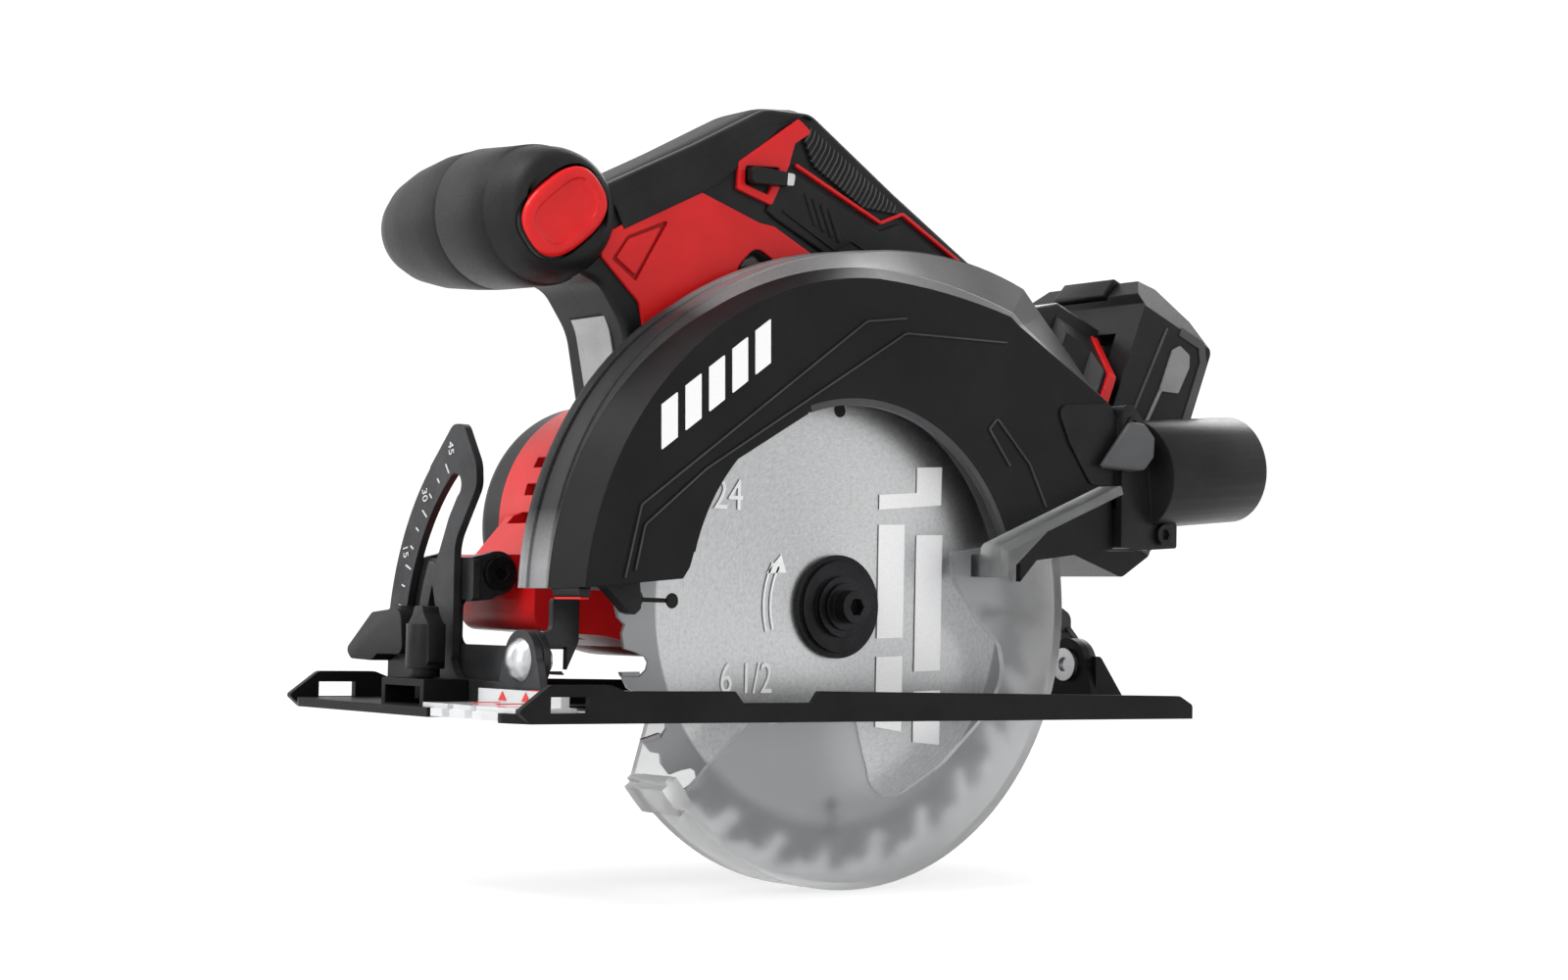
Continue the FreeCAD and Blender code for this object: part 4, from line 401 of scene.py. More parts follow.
def outline(points, closed=True):
    """Points (u, v[, radius]) to a line with rounded corners."""
    count = len(points)
    line = []
    for index, point in enumerate(points):
        if not closed and index in (0, count - 1):
            line.append(tuple(point[:2]))
            continue
        radius = point[2] if len(point) > 2 else 0.0
        line += round_corner(points[index - 1], point, points[(index + 1) % count], radius)
    return line


def add_prism(bm, points, low, high, place=on_side):
    """Closed outline, from one depth to another."""
    flat = outline(points)
    ends = [[bm.verts.new(place(u, v, depth)) for u, v in flat] for depth in (low, high)]
    add_skin(bm, ends)
    return bm


def add_skin(bm, rings, caps=True):
    """Quads between closed rings, with end faces."""
    for ring, following in zip(rings[:-1], rings[1:]):
        for index in range(len(ring)):
            after = (index + 1) % len(ring)
            bm.faces.new((ring[index], ring[after], following[after], following[index]))
    if caps:
        bm.faces.new(rings[0][::-1])
        bm.faces.new(rings[-1])


def ribbon_outline(line, width):
    """Strip of even width along an open line of points."""
    left, right = [], []
    points = [Vector(point) for point in line]
    for index, point in enumerate(points):
        ahead = points[min(index + 1, len(points) - 1)] - point
        behind = point - points[max(index - 1, 0)]
        along = ((ahead.normalized() if ahead.length else behind.normalized())
                 + (behind.normalized() if behind.length else ahead.normalized())).normalized()
        across = Vector((-along.y, along.x))
        turn = max(0.5, abs(across.dot(Vector((-ahead.y, ahead.x)).normalized())) if ahead.length else 1.0)
        left.append(tuple(point + across * width / 2 / turn))
        right.append(tuple(point - across * width / 2 / turn))
    return left + right[::-1]


def add_ribbon(bm, line, width, low, high, place=on_side):
    return add_prism(bm, ribbon_outline(outline(line, closed=False), width), low, high, place)


def piece(name, bm, material, body, replaces=(), bevel=0.0, segments=3, sharp=35.0):
    """Named object in metres, riding on a body, with its edges eased by bevel millimetres."""
    bmesh.ops.scale(bm, vec=(MM, MM, MM), verts=bm.verts)
    bmesh.ops.recalc_face_normals(bm, faces=bm.faces)
    mesh = bpy.data.meshes.new(name)
    bm.to_mesh(mesh)
    bm.free()
    mesh.materials.append(MATERIALS[material])
    for face in mesh.polygons:
        face.use_smooth = True
    obj = bpy.data.objects.new(name, mesh)
    bpy.context.collection.objects.link(obj)
    if bevel:
        ease = obj.modifiers.new("eased_edges", "BEVEL")
        ease.width = bevel * MM
        ease.segments = segments
        ease.limit_method = "ANGLE"
        ease.angle_limit = math.radians(30.0)
        ease.harden_normals = True
    else:
        mesh.set_sharp_from_angle(angle=math.radians(sharp))
    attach(obj, body)
    if replaces:
        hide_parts(*replaces)
    return obj


def eased(node, bevel, body, slot):
    """The node's own shape with its sharp edges rounded, in place of the node."""
    bm = bmesh.new()
    bm.from_mesh(frame["nodes"][node].data)
    bmesh.ops.remove_doubles(bm, verts=bm.verts, dist=0.00001)
    bmesh.ops.dissolve_limit(bm, angle_limit=math.radians(0.5), verts=bm.verts, edges=bm.edges)
    bmesh.ops.scale(bm, vec=(1 / MM, 1 / MM, 1 / MM), verts=bm.verts)
    piece(node + "_shape", bm, slot, body, (node,), bevel)


def arc_through(first, middle, last, count):
    """Points on the arc through three points, clockwise."""
    (ax, ay), (bx, by), (cx, cy) = first, middle, last
    a2, b2, c2 = ax ** 2 + ay ** 2, bx ** 2 + by ** 2, cx ** 2 + cy ** 2
    d = 2 * (ax * (by - cy) + bx * (cy - ay) + cx * (ay - by))
    ux = (a2 * (by - cy) + b2 * (cy - ay) + c2 * (ay - by)) / d
    uy = (a2 * (cx - bx) + b2 * (ax - cx) + c2 * (bx - ax)) / d
    radius = math.hypot(ax - ux, ay - uy)
    start, end = math.atan2(ay - uy, ax - ux), math.atan2(cy - uy, cx - ux)
    if start < end:
        start += 2 * math.pi
    return [(ux + radius * math.cos(a), uy + radius * math.sin(a)) for a in
            [start + (end - start) * step / count for step in range(count + 1)]]


def both_sides(build, near, far):
    """Same outline on the near and far faces of the clamshell."""
    bm = bmesh.new()
    build(bm, *near)
    build(bm, *far)
    return bm


def resample(line, spacing):
    """Evenly spaced points along a line, each with its unit tangent."""
    points = [Vector(point) for point in line]
    out, travelled, wanted = [], 0.0, 0.0
    for a, b in zip(points[:-1], points[1:]):
        run = (b - a).length
        while wanted <= travelled + run:
            out.append(a + (b - a) * ((wanted - travelled) / run))
            wanted += spacing
        travelled += run
    tangents = []
    for index in range(len(out)):
        span = out[min(index + 3, len(out) - 1)] - out[max(index - 3, 0)]
        tangents.append(span.normalized())
    return list(zip(out, tangents))


def value_at(stops, x):
    """Straight-line value between stops (x, value)."""
    for (x0, y0), (x1, y1) in zip(stops[:-1], stops[1:]):
        if x <= x1:
            return y0 + (y1 - y0) * max(0.0, (x - x0) / (x1 - x0))
    return stops[-1][1]


# ------------------------------------------------------------------ front handle
HANDLE_SECTIONS = [(-25.0, 14.6, 0), (-24.3, 16.6, 0), (-22.6, 18.3, 0), (-18.0, 20.2, 0), (-12.0, 21.4, 0),
                   (-11.0, 21.6, 0), (-10.2, 22.1, 0), (0, 22.3, 0.5), (15.8, 22.6, 1.5), (16.8, 22.0, 1.5),
                   (17.8, 22.5, 1.5), (30, 22.0, 2), (45, 20.3, 2), (57, 17.7, 2), (65.0, 14.6, 2),
                   (69.6, 9.8, 2), (70.9, 5.0, 2)]
CAP_TILT = math.radians(40.0)
CAP_CENTRE = (BARREL_X - 1.2, BARREL_Z - 1.0)
HANDLE_COUNT = 72                  # points round the barrel


def super_ring(centre, half_long, half_short, tilt, power, count):
    """Rounded oblong in X-Z, tilted."""
    ring = []
    for step in range(count):
        a = 2 * math.pi * step / count
        c, s = math.cos(a), math.sin(a)
        u = half_long * math.copysign(abs(c) ** (2 / power), c)
        v = half_short * math.copysign(abs(s) ** (2 / power), s)
        ring.append((centre[0] + u * math.cos(tilt) - v * math.sin(tilt),
                     centre[1] + u * math.sin(tilt) + v * math.cos(tilt)))
    return ring


def front_handle():
    """Barrel grip with two seams and a flattened top, and a tilted oval socket in its near end."""
    bm = bmesh.new()
    socket_depth = 3.0
    near_y = HANDLE_SECTIONS[0][0]
    rings = []
    for y, half_long, half_short in ((near_y + socket_depth, 16.2, 11.4), (near_y, 16.4, 11.6)):
        oval = super_ring(CAP_CENTRE, half_long, half_short, CAP_TILT, 2.7, HANDLE_COUNT)
        rings.append([bm.verts.new((x, y, z)) for x, z in oval])
    for y, radius, lift in HANDLE_SECTIONS:
        ring = []
        for step in range(HANDLE_COUNT):
            a = 2 * math.pi * step / HANDLE_COUNT
            flat = 1.0 - 0.035 * max(0.0, math.sin(a)) ** 6 * min(1.0, max(0.0, (y - near_y) / 10))
            height = BARREL_Z + lift + radius * flat * math.sin(a)
            ring.append(bm.verts.new((BARREL_X + radius * math.cos(a), y, height)))
        rings.append(ring)
    add_skin(bm, rings)
    piece("front_handle_grip", bm, "soft_black", "saw", ("front_handle",), sharp=50)


def front_handle_cap():
    """Red oval with a raised border round a sunken pad."""
    bm = bmesh.new()
    steps = [(-21.9, 15.6, 10.8), (-25.6, 15.6, 10.8), (-26.5, 15.1, 10.3), (-26.9, 14.0, 9.2),
             (-26.9, 12.2, 7.4),
             (-26.6, 11.7, 6.9), (-26.0, 11.0, 6.4), (-25.9, 10.0, 5.4)]
    rings = []
    for y, half_long, half_short in steps:
        power = 2.7 if half_long > 12 else 3.6
        oval = super_ring(CAP_CENTRE, half_long, half_short, CAP_TILT, power, HANDLE_COUNT)
        rings.append([bm.verts.new((x, y, z)) for x, z in oval])
    add_skin(bm, rings)
    piece("front_handle_button", bm, "red_plastic", "saw", ("front_handle_cap",), sharp=60)


# ------------------------------------------------------------------ top bar, grip and side panels
SPINE_TOP = [(-74, 163.0), (-38.7, 181.2, 60), (-12, 195.6, 14), (3.0, 197.0, 4), (6.6, 194.8)]
SPINE_DEPTH = [(-74, 15.0), (-40, 15.5), (-27, 12.5), (-12, 8.5), (0, 4.0), (7, 2.6)]
GRIP_TOP = [(7.0, 194.6), (41, 174.0, 40), (89.0, 145.6)]
GRIP_DEPTH = [(7, 10.0), (14, 15.0), (34, 14.0), (41, 9.5), (46, 6.2), (74, 4.6), (89, 3.0)]
PINSTRIPE = [(-1.4, 177.1), (34, 162.0, 1.5), (43.2, 165.9, 1.5), (74.6, 149.1, 2), (83.5, 144.0)]
RIB_PITCH, RIB_HEIGHT, RIB_REACH = 1.9, 0.7, 13.5


def hood(top, depths, profile, spacing, ribs=False):
    """Cover that wraps the handle's back: a profile carried along the top line."""
    half = HANDLE_HALF + SKIN
    bm = bmesh.new()
    rings, crests = [], []
    for index, (point, along) in enumerate(resample(outline(top, closed=False), spacing)):
        inward = Vector((along.y, -along.x))
        depth = value_at(depths, point.x)
        ring = []
        section = [(-half, depth)] + [(-half + u, min(v, depth - 0.3)) for u, v in profile]
        section += [(half - u, min(v, depth - 0.3)) for u, v in profile[::-1]] + [(half, depth)]
        raised = RIB_HEIGHT if ribs and index % 4 in (1, 2) else 0.0
        for across, down in section:
            lift = raised if down < min(RIB_REACH, depth - 1.0) else 0.0
            spot = point + inward * (down - lift)
            out = math.copysign(lift if down > 1.0 else 0.0, across)
            ring.append(bm.verts.new((spot.x, HANDLE_MID_Y + across + out * 0.7, spot.y)))
        rings.append(ring)
        crests.append(raised > 0)
    add_skin(bm, rings)
    # crest faces take the second material, a lighter black: painted highlight
    lit = {vert for ring, crest in zip(rings, crests) if crest for vert in ring}
    for face in bm.faces:
        if len(face.verts) == 4 and lit.issuperset(face.verts):
            face.material_index = 1
    return bm


def spine_cover():
    """Smooth cover over the top bar: flat crown, broad bevel, side face."""
    profile = [(0.0, 8.2), (0.4, 7.0), (1.6, 5.4), (4.4, 2.2), (6.0, 0.9), (8.6, 0.2), (12.0, 0.0)]
    bm = hood(SPINE_TOP, SPINE_DEPTH, profile, 1.2)
    piece("top_bar_cover", bm, "soft_black", "saw", ("spine_cover",), sharp=50)


def grip_cover():
    """Soft cover down the back of the grip, with fine ribs across it; the rib crests take a lighter black as
    a painted highlight.
    """
    profile = [(0.0, 13.0), (0.0, 11.0), (0.0, 9.0), (0.3, 8.0), (1.0, 6.2), (2.6, 4.0), (5.0, 2.0),
               (8.2, 0.7),
               (12.0, 0.1), (15.0, 0.0)]
    bm = hood(GRIP_TOP, GRIP_DEPTH, profile, RIB_PITCH / 4, ribs=True)
    cover = piece("ribbed_grip_cover", bm, "soft_black", "saw", ("grip_cover",), sharp=70)
    cover.data.materials.append(MATERIALS["rib_crest_highlight"])


def face_depths(thickness, sink=0.2):
    """Depth ranges just outside the near and far faces of the clamshell."""
    return ((HANDLE_NEAR_Y - thickness, HANDLE_NEAR_Y + sink),
            (HANDLE_FAR_Y - sink, HANDLE_FAR_Y + thickness))


def pinstripe():
    """Thin red line between the ribbed cover and the side panel, ending in a red tip."""
    near, far = face_depths(SKIN + 0.35)
    bm = both_sides(lambda b, low, high: add_ribbon(b, PINSTRIPE, 1.15, low, high), near, far)
    tip = [(79.5, 147.2, 1), (88.6, 142.0, 1), (86.6, 138.6, 1), (81.4, 140.4, 1)]
    for low, high in face_depths(SKIN + 0.7):
        add_prism(bm, tip, low, high)
    piece("grip_pinstripe", bm, "red_plastic", "saw", bevel=0.25, segments=2)


def side_panels():
    """Raised side panels with a contour line and four short bars."""
    border = [(-9.6, 171.0, 1.5), (-2.4, 174.6, 1.5), (33.6, 159.3, 2), (42.6, 162.8, 2), (73.4, 146.6, 2),
              (82.0, 140.8, 2), (66.0, 127.6, 4), (56, 129.6, 3), (9.2, 150.4, 3), (-8.6, 158.6, 2),
              (-12.6, 161.0, 1)]
    near, far = face_depths(SKIN)
    bm = both_sides(lambda b, low, high: add_prism(b, border, low, high), near, far)
    piece("grip_side_panels", bm, "soft_black", "saw", ("grip_panels",), bevel=0.7)
    contour = [(-6.6, 161.8), (14.5, 151.2), (21.5, 154.8, 2), (38.5, 147.2)]
    bm = bmesh.new()
    for low, high in face_depths(SKIN + 0.5):
        add_ribbon(bm, contour, 0.9, low, high)
        for step in range(4):
            x = 2.6 + 3.3 * step
            add_ribbon(bm, [(x, 168.6 - 1.5 * step), (x + 4.4, 158.2 - 1.5 * step)], 1.5, low, high)
    piece("grip_panel_bars", bm, "soft_black", "saw", bevel=0.3, segments=2)


RED_PANEL = [(-75.4, 140.9, 1.5), (-71.4, 149.0, 1.5), (-41.4, 165.2, 2), (-15.4, 156.9, 3), (-9.7, 156.4, 3),
             (8, 147.9, 3), (31.0, 134.4, 2), (26.5, 125.6, 1.5), (20.6, 129.6, 4), (-16.6, 149.4, 5),
             (-24.2, 141.6, 6),
             (-18.4, 108.0, 6), (-0.6, 101.8, 6), (44, 84.6, 4), (38, 63, 5), (8, 72.5, 6), (-50.5, 84.5, 4),
             (-57.4, 112.0, 10), (-60.6, 127.4, 4)]
RECESS = [(-71.3, 139.9, 0.8), (-65.9, 147.6, 0.8), (-50.2, 154.3, 0.8), (-62.3, 133.8, 0.8)]


def add_pierced(bm, border, hole, low, high):
    """Flat plate with one hole through it."""
    loops = []
    for line in (outline(border), outline(hole)):
        rings = [[bm.verts.new(on_side(u, v, depth)) for u, v in line] for depth in (low, high)]
        add_skin(bm, rings, caps=False)
        loops.append(rings)
    for level in (0, 1):
        edges = []
        for rings in loops:
            ring = rings[level]
            edges += [bm.edges.get((ring[k], ring[(k + 1) % len(ring)])) for k in range(len(ring))]
        bmesh.ops.triangle_fill(bm, use_beauty=True, edges=edges)


def red_panels():
    """Red side panels of the clamshell, each with a grooved four-sided pad near the front; the recess floor
    round the pad is darker red, painted shade in the groove.
    """
    thickness = 1.1
    bm = bmesh.new()
    for low, high in face_depths(thickness):
        add_pierced(bm, RED_PANEL, RECESS, low, high)
    piece("red_side_panels", bm, "red_plastic", "saw", sharp=30)
    pads = bmesh.new()
    centre = Vector((sum(point[0] for point in RECESS) / len(RECESS),
                     sum(point[1] for point in RECESS) / len(RECESS)))
    pad = [tuple(centre + (Vector(point[:2]) - centre) * 0.80) + (0.8,) for point in RECESS]
    for low, high in face_depths(thickness - 0.25, 0.1):
        add_prism(pads, pad, low, high)
    piece("red_panel_pads", pads, "red_plastic", "saw", bevel=0.3, segments=2)
    # painted shade: the recess floor is a darker red where the groove round the pad lies in shade
    recess_shade = bmesh.new()
    for low, high in face_depths(0.15, 0.1):
        add_prism(recess_shade, RECESS, low, high)
    piece("red_panel_recess_shade", recess_shade, "dark_red", "saw")


def lock_lever_tips():
    """Bright ends on the lock-off lever."""
    bm = bmesh.new()
    for low, high in ((HANDLE_NEAR_Y - 5.4, HANDLE_NEAR_Y - 1.8), (HANDLE_FAR_Y + 1.8, HANDLE_FAR_Y + 5.4)):
        add_prism(bm, [(-7.8, 169.2, 0.6), (-5.0, 169.4, 1), (-4.4, 173.4, 1), (-7.4, 173.6, 0.6)], low, high)
    piece("lock_lever_tips", bm, "steel", "lock_off_body", bevel=0.4)


# ------------------------------------------------------------------ upper guard and dust port
FAR_RIM = (arc_through((-104, 38.2), (-90.5, 87), (-52.4, 125.4), 22)[:-1]
           + arc_through((-52.4, 125.4), (-22.5, 140.4), (10, 147.8), 14)[:-1]
           + arc_through((10, 147.8), (47, 149.4), (80, 142.0), 14) + [(88, 134), (104, 119)])


def guard_rim():
    """Rolled bead along the guard's far edge, a groove, and the raised cast band beside it."""
    bands = [((-25.6, -0.3), (-25.4, 1.0), (-26.4, 1.5), (-28.6, 1.5), (-29.6, 0.9), (-29.8, -0.3)),
             ((-31.2, -0.3), (-31.2, 0.45), (-31.8, 0.75), (-40.3, 0.55), (-40.7, -0.3))]
    bm = bmesh.new()
    for band in bands:
        rings = []
        points = [Vector(p) for p in FAR_RIM]
        for index, point in enumerate(points):
            along = (points[min(index + 1, len(points) - 1)] - points[max(index - 1, 0)]).normalized()
            outward = Vector((-along.y, along.x))
            rings.append([bm.verts.new((point.x + outward.x * out, y, point.y + outward.y * out)) for y,
                          out in band])
        add_skin(bm, rings)
    piece("guard_rim_bead", bm, "guard_cast", "saw", sharp=40)


def guard_lines():
    """Fine raised lines on the cover's near face."""
    bm = bmesh.new()
    lines = [[(-88.2, 41.6), (-83.0, 63.2, 3), (-0.1, 123.8, 4), (15.7, 126.0)],
             [(-84.6, 44.0), (-81.6, 57.4, 3), (-59.9, 75.0, 3), (15.8, 121.3, 4), (58.0, 121.6)],
             [(51.3, 93.1), (54.6, 96.7, 1), (69.0, 82.6), (76.4, 69.0)], [(51.3, 93.1), (60.4, 81.6)]]
    for line in lines:
        add_ribbon(bm, line, 0.55, GUARD_NEAR_Y - 0.75, GUARD_NEAR_Y + 0.1)
    piece("guard_face_lines", bm, "guard_edge", "saw", bevel=0.15, segments=2)


def guard_stripes():
    """Plain slanted bars printed on the guard's face."""
    bm = bmesh.new()
    start, along = Vector((-76.2, 79.6)), Vector((43.2, 31.4)).normalized()
    up = Vector((-0.16, 1.0)).normalized()
    for offset, width in ((0.0, 7.0), (10.4, 7.0), (20.8, 7.0), (31.2, 7.0), (41.6, 7.0)):
        corner = start + along * offset
        step = along * width
        add_prism(bm, [tuple(corner) + (0.3,), tuple(corner + step) + (0.3,),
                       tuple(corner + step + up * 12.4 + along * 2.0) + (0.3,),
                       tuple(corner + up * 12.4 + along * 2.0) + (0.3,)],
                  GUARD_NEAR_Y - 0.2, GUARD_NEAR_Y + 0.1)
    piece("guard_print", bm, "white_ink", "saw")


def port_facet():
    """Light wedge where the dust tube runs into the guard."""
    front = [(96.3, -60.5, 83.1), (108.7, -62.0, 98.9), (112.6, -66.0, 98.3), (113.2, -70.5, 93.2),
             (111.9, -71.5, 86.7), (109.0, -70.0, 82.0)]
    bm = bmesh.new()
    rings = [[bm.verts.new((x, y, z)) for x, y, z in front],
             [bm.verts.new((x + 5.0, -56.0, z)) for x, _, z in front]]
    add_skin(bm, rings)
    piece("dust_tube_facet", bm, "pack_trim", "saw", bevel=1.4)


# ------------------------------------------------------------------ printed marks
def text_piece(name, words, size, place, body, material, squeeze=1.0):
    """Plain numerals as a thin raised print; place is a matrix in metres."""
    curve = bpy.data.curves.new(name, "FONT")
    curve.body = words
    curve.size = size * MM
    curve.extrude = 0.5 * INK * MM
    curve.align_x = "LEFT"
    curve.materials.append(MATERIALS[material])
    obj = bpy.data.objects.new(name, curve)
    bpy.context.collection.objects.link(obj)
    obj.matrix_world = place @ Matrix.Diagonal((squeeze, 1.0, 1.0, 1.0))
    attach(obj, body)


def facing_near(x, y, z):
    """Placement for print read from the blade side."""
    return Matrix.Translation((x * MM, y * MM, z * MM)) @ Matrix.Rotation(math.radians(90), 4, "X")


def facing_front(x, y, z, turn=0.0):
    """Placement for print read from the front of the saw."""
    return (Matrix.Translation((x * MM, y * MM, z * MM)) @ Matrix.Rotation(math.radians(-90), 4, "Z")
            @ Matrix.Rotation(math.radians(90), 4, "X") @ Matrix.Rotation(math.radians(turn), 4, "Z"))


def blade_print():
    """Tooth count, size, turning arrow and plain bars on the blade."""
    face = BLADE_FACE_Y - 0.02
    text_piece("blade_teeth_number", "24", 13.5, facing_near(-48.0, face, 63.8), "spindle_group",
               "white_ink", squeeze=0.86)
    text_piece("blade_size_number", "6 1/2", 13.5, facing_near(-44.0, face, 7.8), "spindle_group",
               "white_ink", squeeze=0.72)
    bm = bmesh.new()
    low, high = face - INK, face + 0.05
    bars = [[(17.0, 25.0), (27.6, 25.4), (27.6, 61.6), (17.0, 61.2)],
            [(17.0, 66.0), (42.6, 68.4), (42.8, 80.8), (32.4, 80.2), (32.4, 72.0), (17.0, 70.8)],
            [(32.6, 14.6), (43.4, 15.0), (43.4, 58.8), (32.6, 58.4)],
            [(17.0, -3.0), (27.6, -4.6), (27.6, 19.6), (17.0, 19.2)],
            [(32.6, -8.0), (43.6, -9.0), (43.6, 8.6), (32.6, 8.2)]]
    for bar in bars:
        add_prism(bm, bar, low, high)
    for k in range(2):
        radius = 25.4 + 2.6 * k
        line = [(radius * math.cos(math.radians(a)), ARBOR_Z + radius * math.sin(math.radians(a)))
                for a in range(152, 202, 5)]
        add_ribbon(bm, line, 0.7, low, high)
    add_prism(bm, [(-21.6, 50.6), (-27.2, 44.6), (-19.6, 45.0)], low, high)
    piece("blade_plain_bars", bm, "white_ink", "spindle_group")


def blade_slot_fill():
    """Black fill in the blade's four expansion slots: painted shade where the slots look dark through the
    blade.
    """
    bm = bmesh.new()
    low, high = BLADE_Y - SHADE_FILL_HALF, BLADE_Y + SHADE_FILL_HALF
    for k in range(4):
        a = math.radians(179.4 + 90 * k)
        ray, across = Vector((math.cos(a), math.sin(a))), Vector((-math.sin(a), math.cos(a)))
        hub = Vector((0.0, ARBOR_Z))
        corners = [hub + ray * r + across * w for r,
                   w in ((63.8, -0.62), (78.0, -0.62), (78.0, 0.62), (63.8, 0.62))]
        add_prism(bm, [tuple(corner) for corner in corners], low, high)
        eye = hub + ray * 62.0
        add_prism(bm, [(eye.x + 2.25 * math.cos(math.radians(15 * n)),
                        eye.y + 2.25 * math.sin(math.radians(15 * n)))
                       for n in range(24)], low, high)
    # a dark piece standing in for the shade seen through the slots: painted shade
    piece("blade_slot_fill", bm, "soft_black", "spindle_group")


def quadrant_scale():
    """Degree marks and numerals on the bevel quadrant."""
    bm = bmesh.new()
    for degrees in range(0, 46, 5):
        a = math.radians(CLAMP_ANGLE + degrees)
        inner = 73.2 if degrees % 15 else 71.6
        line = [(BEVEL_Y + r * math.cos(a), BEVEL_Z + r * math.sin(a)) for r in (inner, 75.2)]
        add_ribbon(bm, line, 0.5, QUAD_FACE_X - 0.25, QUAD_FACE_X + 0.1, on_front)
    piece("bevel_scale_marks", bm, "grey_ink", "base")
    for degrees in (0, 15, 30, 45):
        a = math.radians(CLAMP_ANGLE + degrees + 3.4)
        y, z = BEVEL_Y + 80.2 * math.cos(a), BEVEL_Z + 80.2 * math.sin(a)
        text_piece("bevel_number_%d" % degrees, str(degrees), 4.4,
                   facing_front(QUAD_FACE_X - 0.1, y - 0.4, z, -80), "base", "grey_ink")


def insert_marks():
    """Red sight lines on the clear window in the shoe."""
    bm = bmesh.new()
    for y in (BLADE_Y, -30.0):
        add_prism(bm, [(-122, y - 0.5), (-113, y - 0.5), (-113, y + 0.5), (-122, y + 0.5)], 4.45, 4.75,
                  on_plan)
        add_prism(bm, [(y - 2.2, 5.2), (y + 2.2, 5.2), (y, 7.9)], -112.3, -111.9, on_front)
    add_prism(bm, [(-111.8, -58), (-109.4, -58), (-109.4, -44), (-111.8, -44)], 8.35, 8.6, on_plan)
    piece("sight_marks", bm, "red_ink", "base")


# ------------------------------------------------------------------ battery details
def on_collar(across, up, out):
    """Point from Y, height along the battery's slide and depth away from its seat."""
    x, z = pack_point(up, out)
    return (x, across, z)


COLLAR_HALF_TOP, COLLAR_TOP, COLLAR_HALF = 11.0, 21.6, 32.3
PACK_CROWN = [(14.0, 43.2), (30.5, 38.0)]    # (depth from the seat, height) along the battery's sloping top
TOP_RIB_HALF = 15.0                # half length of the ribs across the battery's top


def battery_details():
    """Ribbed top, grey edge bands, side badge and the red edge of the battery collar."""
    near, far = HANDLE_MID_Y - PACK_HALF, HANDLE_MID_Y + PACK_HALF
    bm = bmesh.new()
    for step in range(4):
        start = 10.0 + 5.2 * step
        end = start + 3.6
        front, rear = value_at(PACK_CROWN, start), value_at(PACK_CROWN, end)
        rib = [(front - 0.8, start), (front + 0.9, start + 0.5), (rear + 0.9, end - 0.5), (rear - 0.8, end)]
        add_prism(bm, rib, HANDLE_MID_Y - TOP_RIB_HALF, HANDLE_MID_Y + TOP_RIB_HALF, on_pack)
    piece("battery_top_ribs", bm, "black_plastic", "battery", bevel=0.4)
    bm = bmesh.new()
    for low, high in ((near - 0.45, near + 0.2), (far - 0.2, far + 0.45)):
        add_ribbon(bm, [(29.4, 22.0), (29.4, 33.4, 1), (24.0, 36.6, 1), (-50, 36.6)], 3.2, low, high, on_pack)
        add_ribbon(bm, [(27.5, 15.6), (-44, 8.4)], 0.9, low, high, on_pack)
    piece("battery_edge_trim", bm, "pack_trim", "battery", bevel=0.25)
    bm = bmesh.new()
    for low, high in ((near - 0.6, near + 0.2), (far - 0.2, far + 0.6)):
        add_prism(bm, [(5.3, 20.6, 1), (21.6, 20.8, 1.5), (24.6, 23.6, 1), (23.6, 29.2, 1.5),
                       (19.4, 30.8, 1.5),
                       (8.6, 29.4, 1)], low, high, on_pack)
        add_ribbon(bm, [(6.0, 21.2), (-42.0, 14.4)], 1.2, low, high, on_pack)
    piece("battery_badge", bm, "badge_grey", "battery", ("battery_labels",), bevel=0.25)
    bm = bmesh.new()
    line = [(COLLAR_HALF, -56.0), (COLLAR_HALF, 0.0, 1.0), (COLLAR_HALF_TOP, COLLAR_TOP, 1.0)]
    ring = [(HANDLE_MID_Y + point[0],) + tuple(point[1:]) for point in line]
    ring += [(HANDLE_MID_Y - point[0],) + tuple(point[1:]) for point in line[::-1]]
    add_ribbon(bm, ring, 1.5, -4.0, -0.45, on_collar)
    piece("collar_red_edge", bm, "red_plastic", "saw", bevel=0.3)


def bumper_line():
    """Thin red line under the black rim at the guard's front."""
    bm = bmesh.new()
    add_prism(bm, [(-102.4, 35.1), (-99.6, 35.1), (-99.6, 35.8), (-102.4, 35.8)], -56.0, -41.6)
    piece("guard_front_red_line", bm, "red_plastic", "saw", bevel=0.15, segments=2)


def guard_nose():
    """Black stop that hangs behind the cover's front corner, ahead of the teeth."""
    bm = bmesh.new()
    add_prism(bm, [(-97.6, 45.0), (-78.9, 45.0), (-77.8, 34.8, 1), (-77.9, 32.8, 1), (-80.0, 31.0, 1),
                   (-82.4, 31.6, 1),
                   (-90.0, 38.6, 2), (-97.6, 42.0)], -51.0, -46.0)
    piece("guard_front_nose", bm, "soft_black", "saw", bevel=0.4)


# ------------------------------------------------------------------ materials on the carried-over nodes
def dress_cad_nodes():
    """Every shown CAD node takes the finish of its slot."""
    slot_of = {entry["node"]: entry["material_slot"] for entry in record["subparts"]}
    special = {"cut_line_insert": "window_clear", "guard_lip": "guard_edge"}
    for name, obj in frame["nodes"].items():
        obj.data.materials.clear()
        obj.data.materials.append(MATERIALS[special.get(name, slot_of[name])])


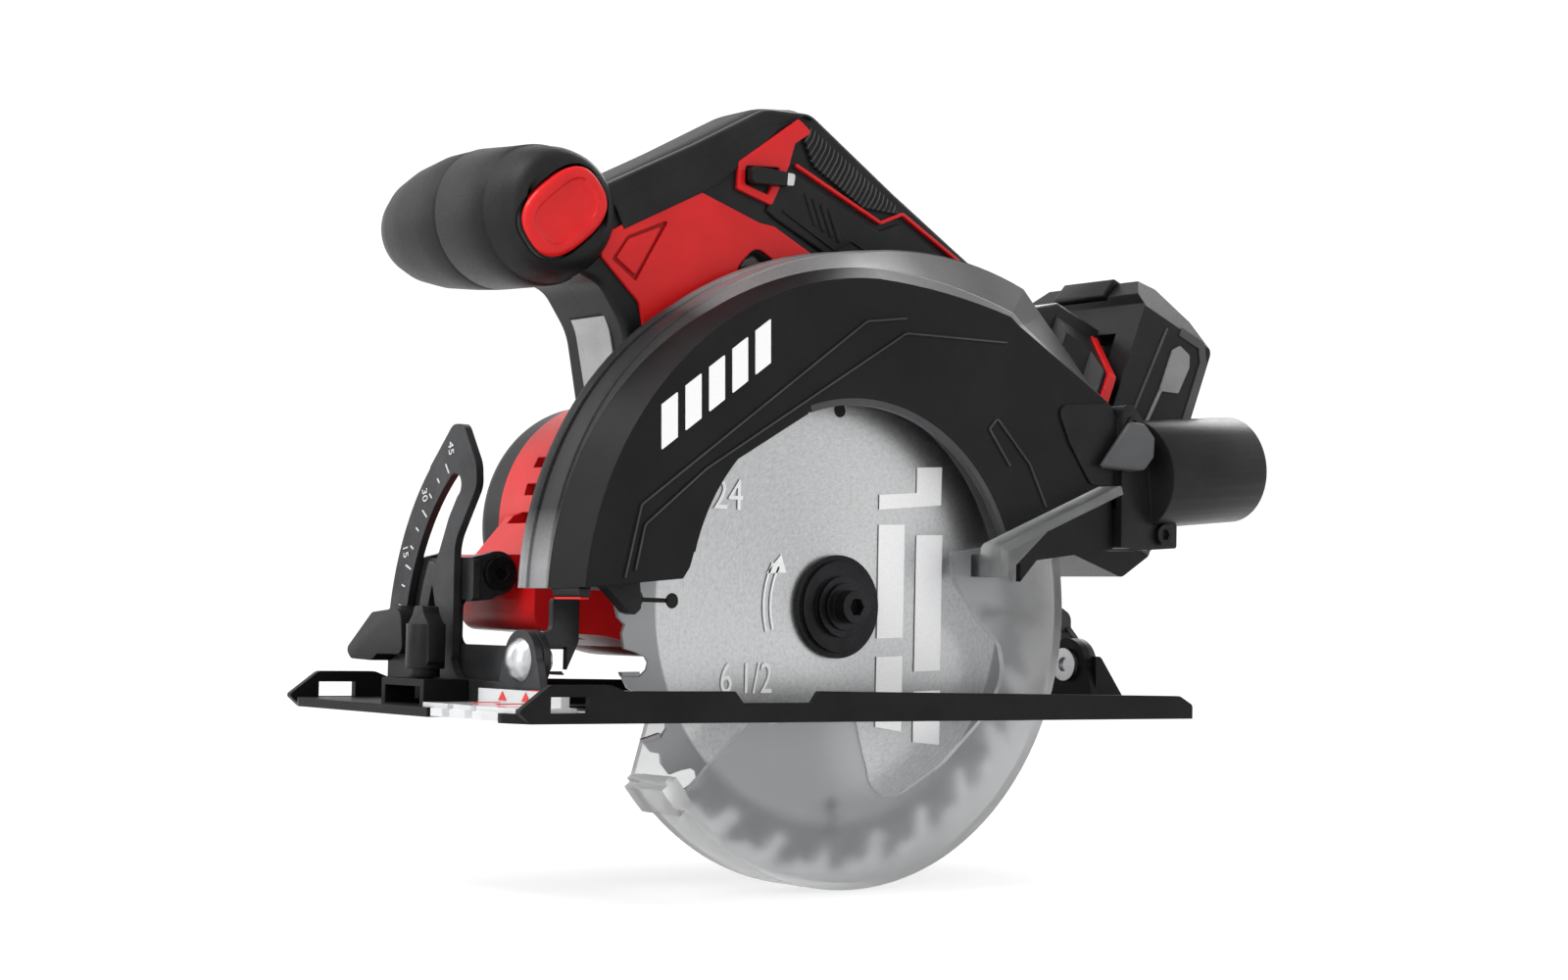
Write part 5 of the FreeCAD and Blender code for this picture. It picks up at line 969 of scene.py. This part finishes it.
dress_cad_nodes()
front_handle()
front_handle_cap()
spine_cover()
grip_cover()
pinstripe()
side_panels()
red_panels()
lock_lever_tips()
guard_rim()
guard_lines()
guard_stripes()
port_facet()
blade_print()
quadrant_scale()
insert_marks()
battery_details()
bumper_line()
guard_nose()
blade_slot_fill()
for node, width, body, slot in (("battery_latch", 0.6, "battery_latch_body", "black_plastic"),
                                ("lock_bezels", 0.35, "saw", "red_plastic"),
                                ("lock_off", 0.9, "lock_off_body", "black_plastic"),
                                ("bevel_lever", 1.2, "bevel_clamp", "black_plastic"),
                                ("fence_screw", 0.8, "fence_clamp", "black_plastic"),
                                ("dust_port", 0.8, "saw", "black_plastic")):
    eased(node, width, body, slot)


# ------------------------------------------------------------------ floor, lights, camera
def make_floor():
    """White paper bowl: flat under the saw, curving up all round."""
    low = cad_box[0][2] - 0.0005
    bend = [math.radians(10 * k) for k in range(10)]
    line = [(0.4, 0.0), (1.2, 0.0)] + [(2.4 + 1.6 * math.sin(a),
                                        1.6 - 1.6 * math.cos(a)) for a in bend] + [(4.0, 4.5)]
    bm = bmesh.new()
    sides = 96
    rings = [[bm.verts.new((r * math.cos(2 * math.pi * k / sides), r * math.sin(2 * math.pi * k / sides),
                            low + z))
              for k in range(sides)] for r, z in line]
    add_skin(bm, rings, caps=False)
    bm.faces.new(rings[0])
    bmesh.ops.recalc_face_normals(bm, faces=bm.faces)
    mesh = bpy.data.meshes.new("floor")
    bm.to_mesh(mesh)
    bm.free()
    for face in mesh.polygons:
        face.use_smooth = True
    mesh.materials.append(backdrop("paper"))
    obj = bpy.data.objects.new("floor", mesh)
    bpy.context.collection.objects.link(obj)


def area_light(name, at, target, size, power):
    data = bpy.data.lights.new(name, "AREA")
    data.shape = "RECTANGLE"
    data.size, data.size_y = size
    data.energy = power
    obj = bpy.data.objects.new(name, data)
    bpy.context.collection.objects.link(obj)
    obj.location = at
    obj.rotation_euler = (Vector(target) - Vector(at)).to_track_quat("-Z", "Y").to_euler()


def make_lights():
    """Broad top light, strips on both sides, soft surround."""
    centre = (0.02, -0.01, 0.07)
    area_light("key_top", (-0.60, 0.05, 1.00), centre, (0.7, 0.5), 9.0)
    area_light("front_left", (-1.25, -0.25, 0.35), centre, (0.3, 0.9), 2.6)
    area_light("rear_rim", (0.85, 0.55, 0.75), centre, (0.6, 0.6), 5.0)
    area_light("left_rim", (-0.7, 0.85, 0.55), centre, (0.4, 0.8), 2.3)
    world = bpy.data.worlds.new("studio")
    world.use_nodes = True
    back = world.node_tree.nodes["Background"]
    back.inputs[0].default_value = (1, 1, 1, 1)
    back.inputs[1].default_value = 0.7
    scene = bpy.context.scene
    scene.world = world
    scene.view_settings.view_transform = "Standard"


def make_camera():
    """Low three-quarter view from the front left, fitted to the saw's own edges."""
    azimuth, elevation, roll = math.radians(-36.894), math.radians(-2.675), math.radians(1.169)
    distance, side, up_shift = 0.849997, -0.014780, 0.071445
    lens = 62.196
    back = Vector((math.sin(azimuth) * math.cos(elevation), -math.cos(azimuth) * math.cos(elevation),
                   math.sin(elevation)))
    forward = -back
    level = Vector((math.cos(azimuth), math.sin(azimuth), 0))
    upright = level.cross(forward)
    right = level * math.cos(roll) + upright * math.sin(roll)
    above = upright * math.cos(roll) - level * math.sin(roll)
    position = right * side + above * up_shift - forward * distance + Vector((0, BLADE_Y * MM, 0))
    data = bpy.data.cameras.new("camera")
    data.sensor_width = 36.0
    data.lens = lens
    data.clip_start = 0.01
    obj = bpy.data.objects.new("camera", data)
    bpy.context.collection.objects.link(obj)
    turn = Matrix((right, above, -forward)).transposed()
    obj.matrix_world = Matrix.Translation(position) @ turn.to_4x4()
    bpy.context.scene.camera = obj


make_floor()
make_lights()
make_camera()
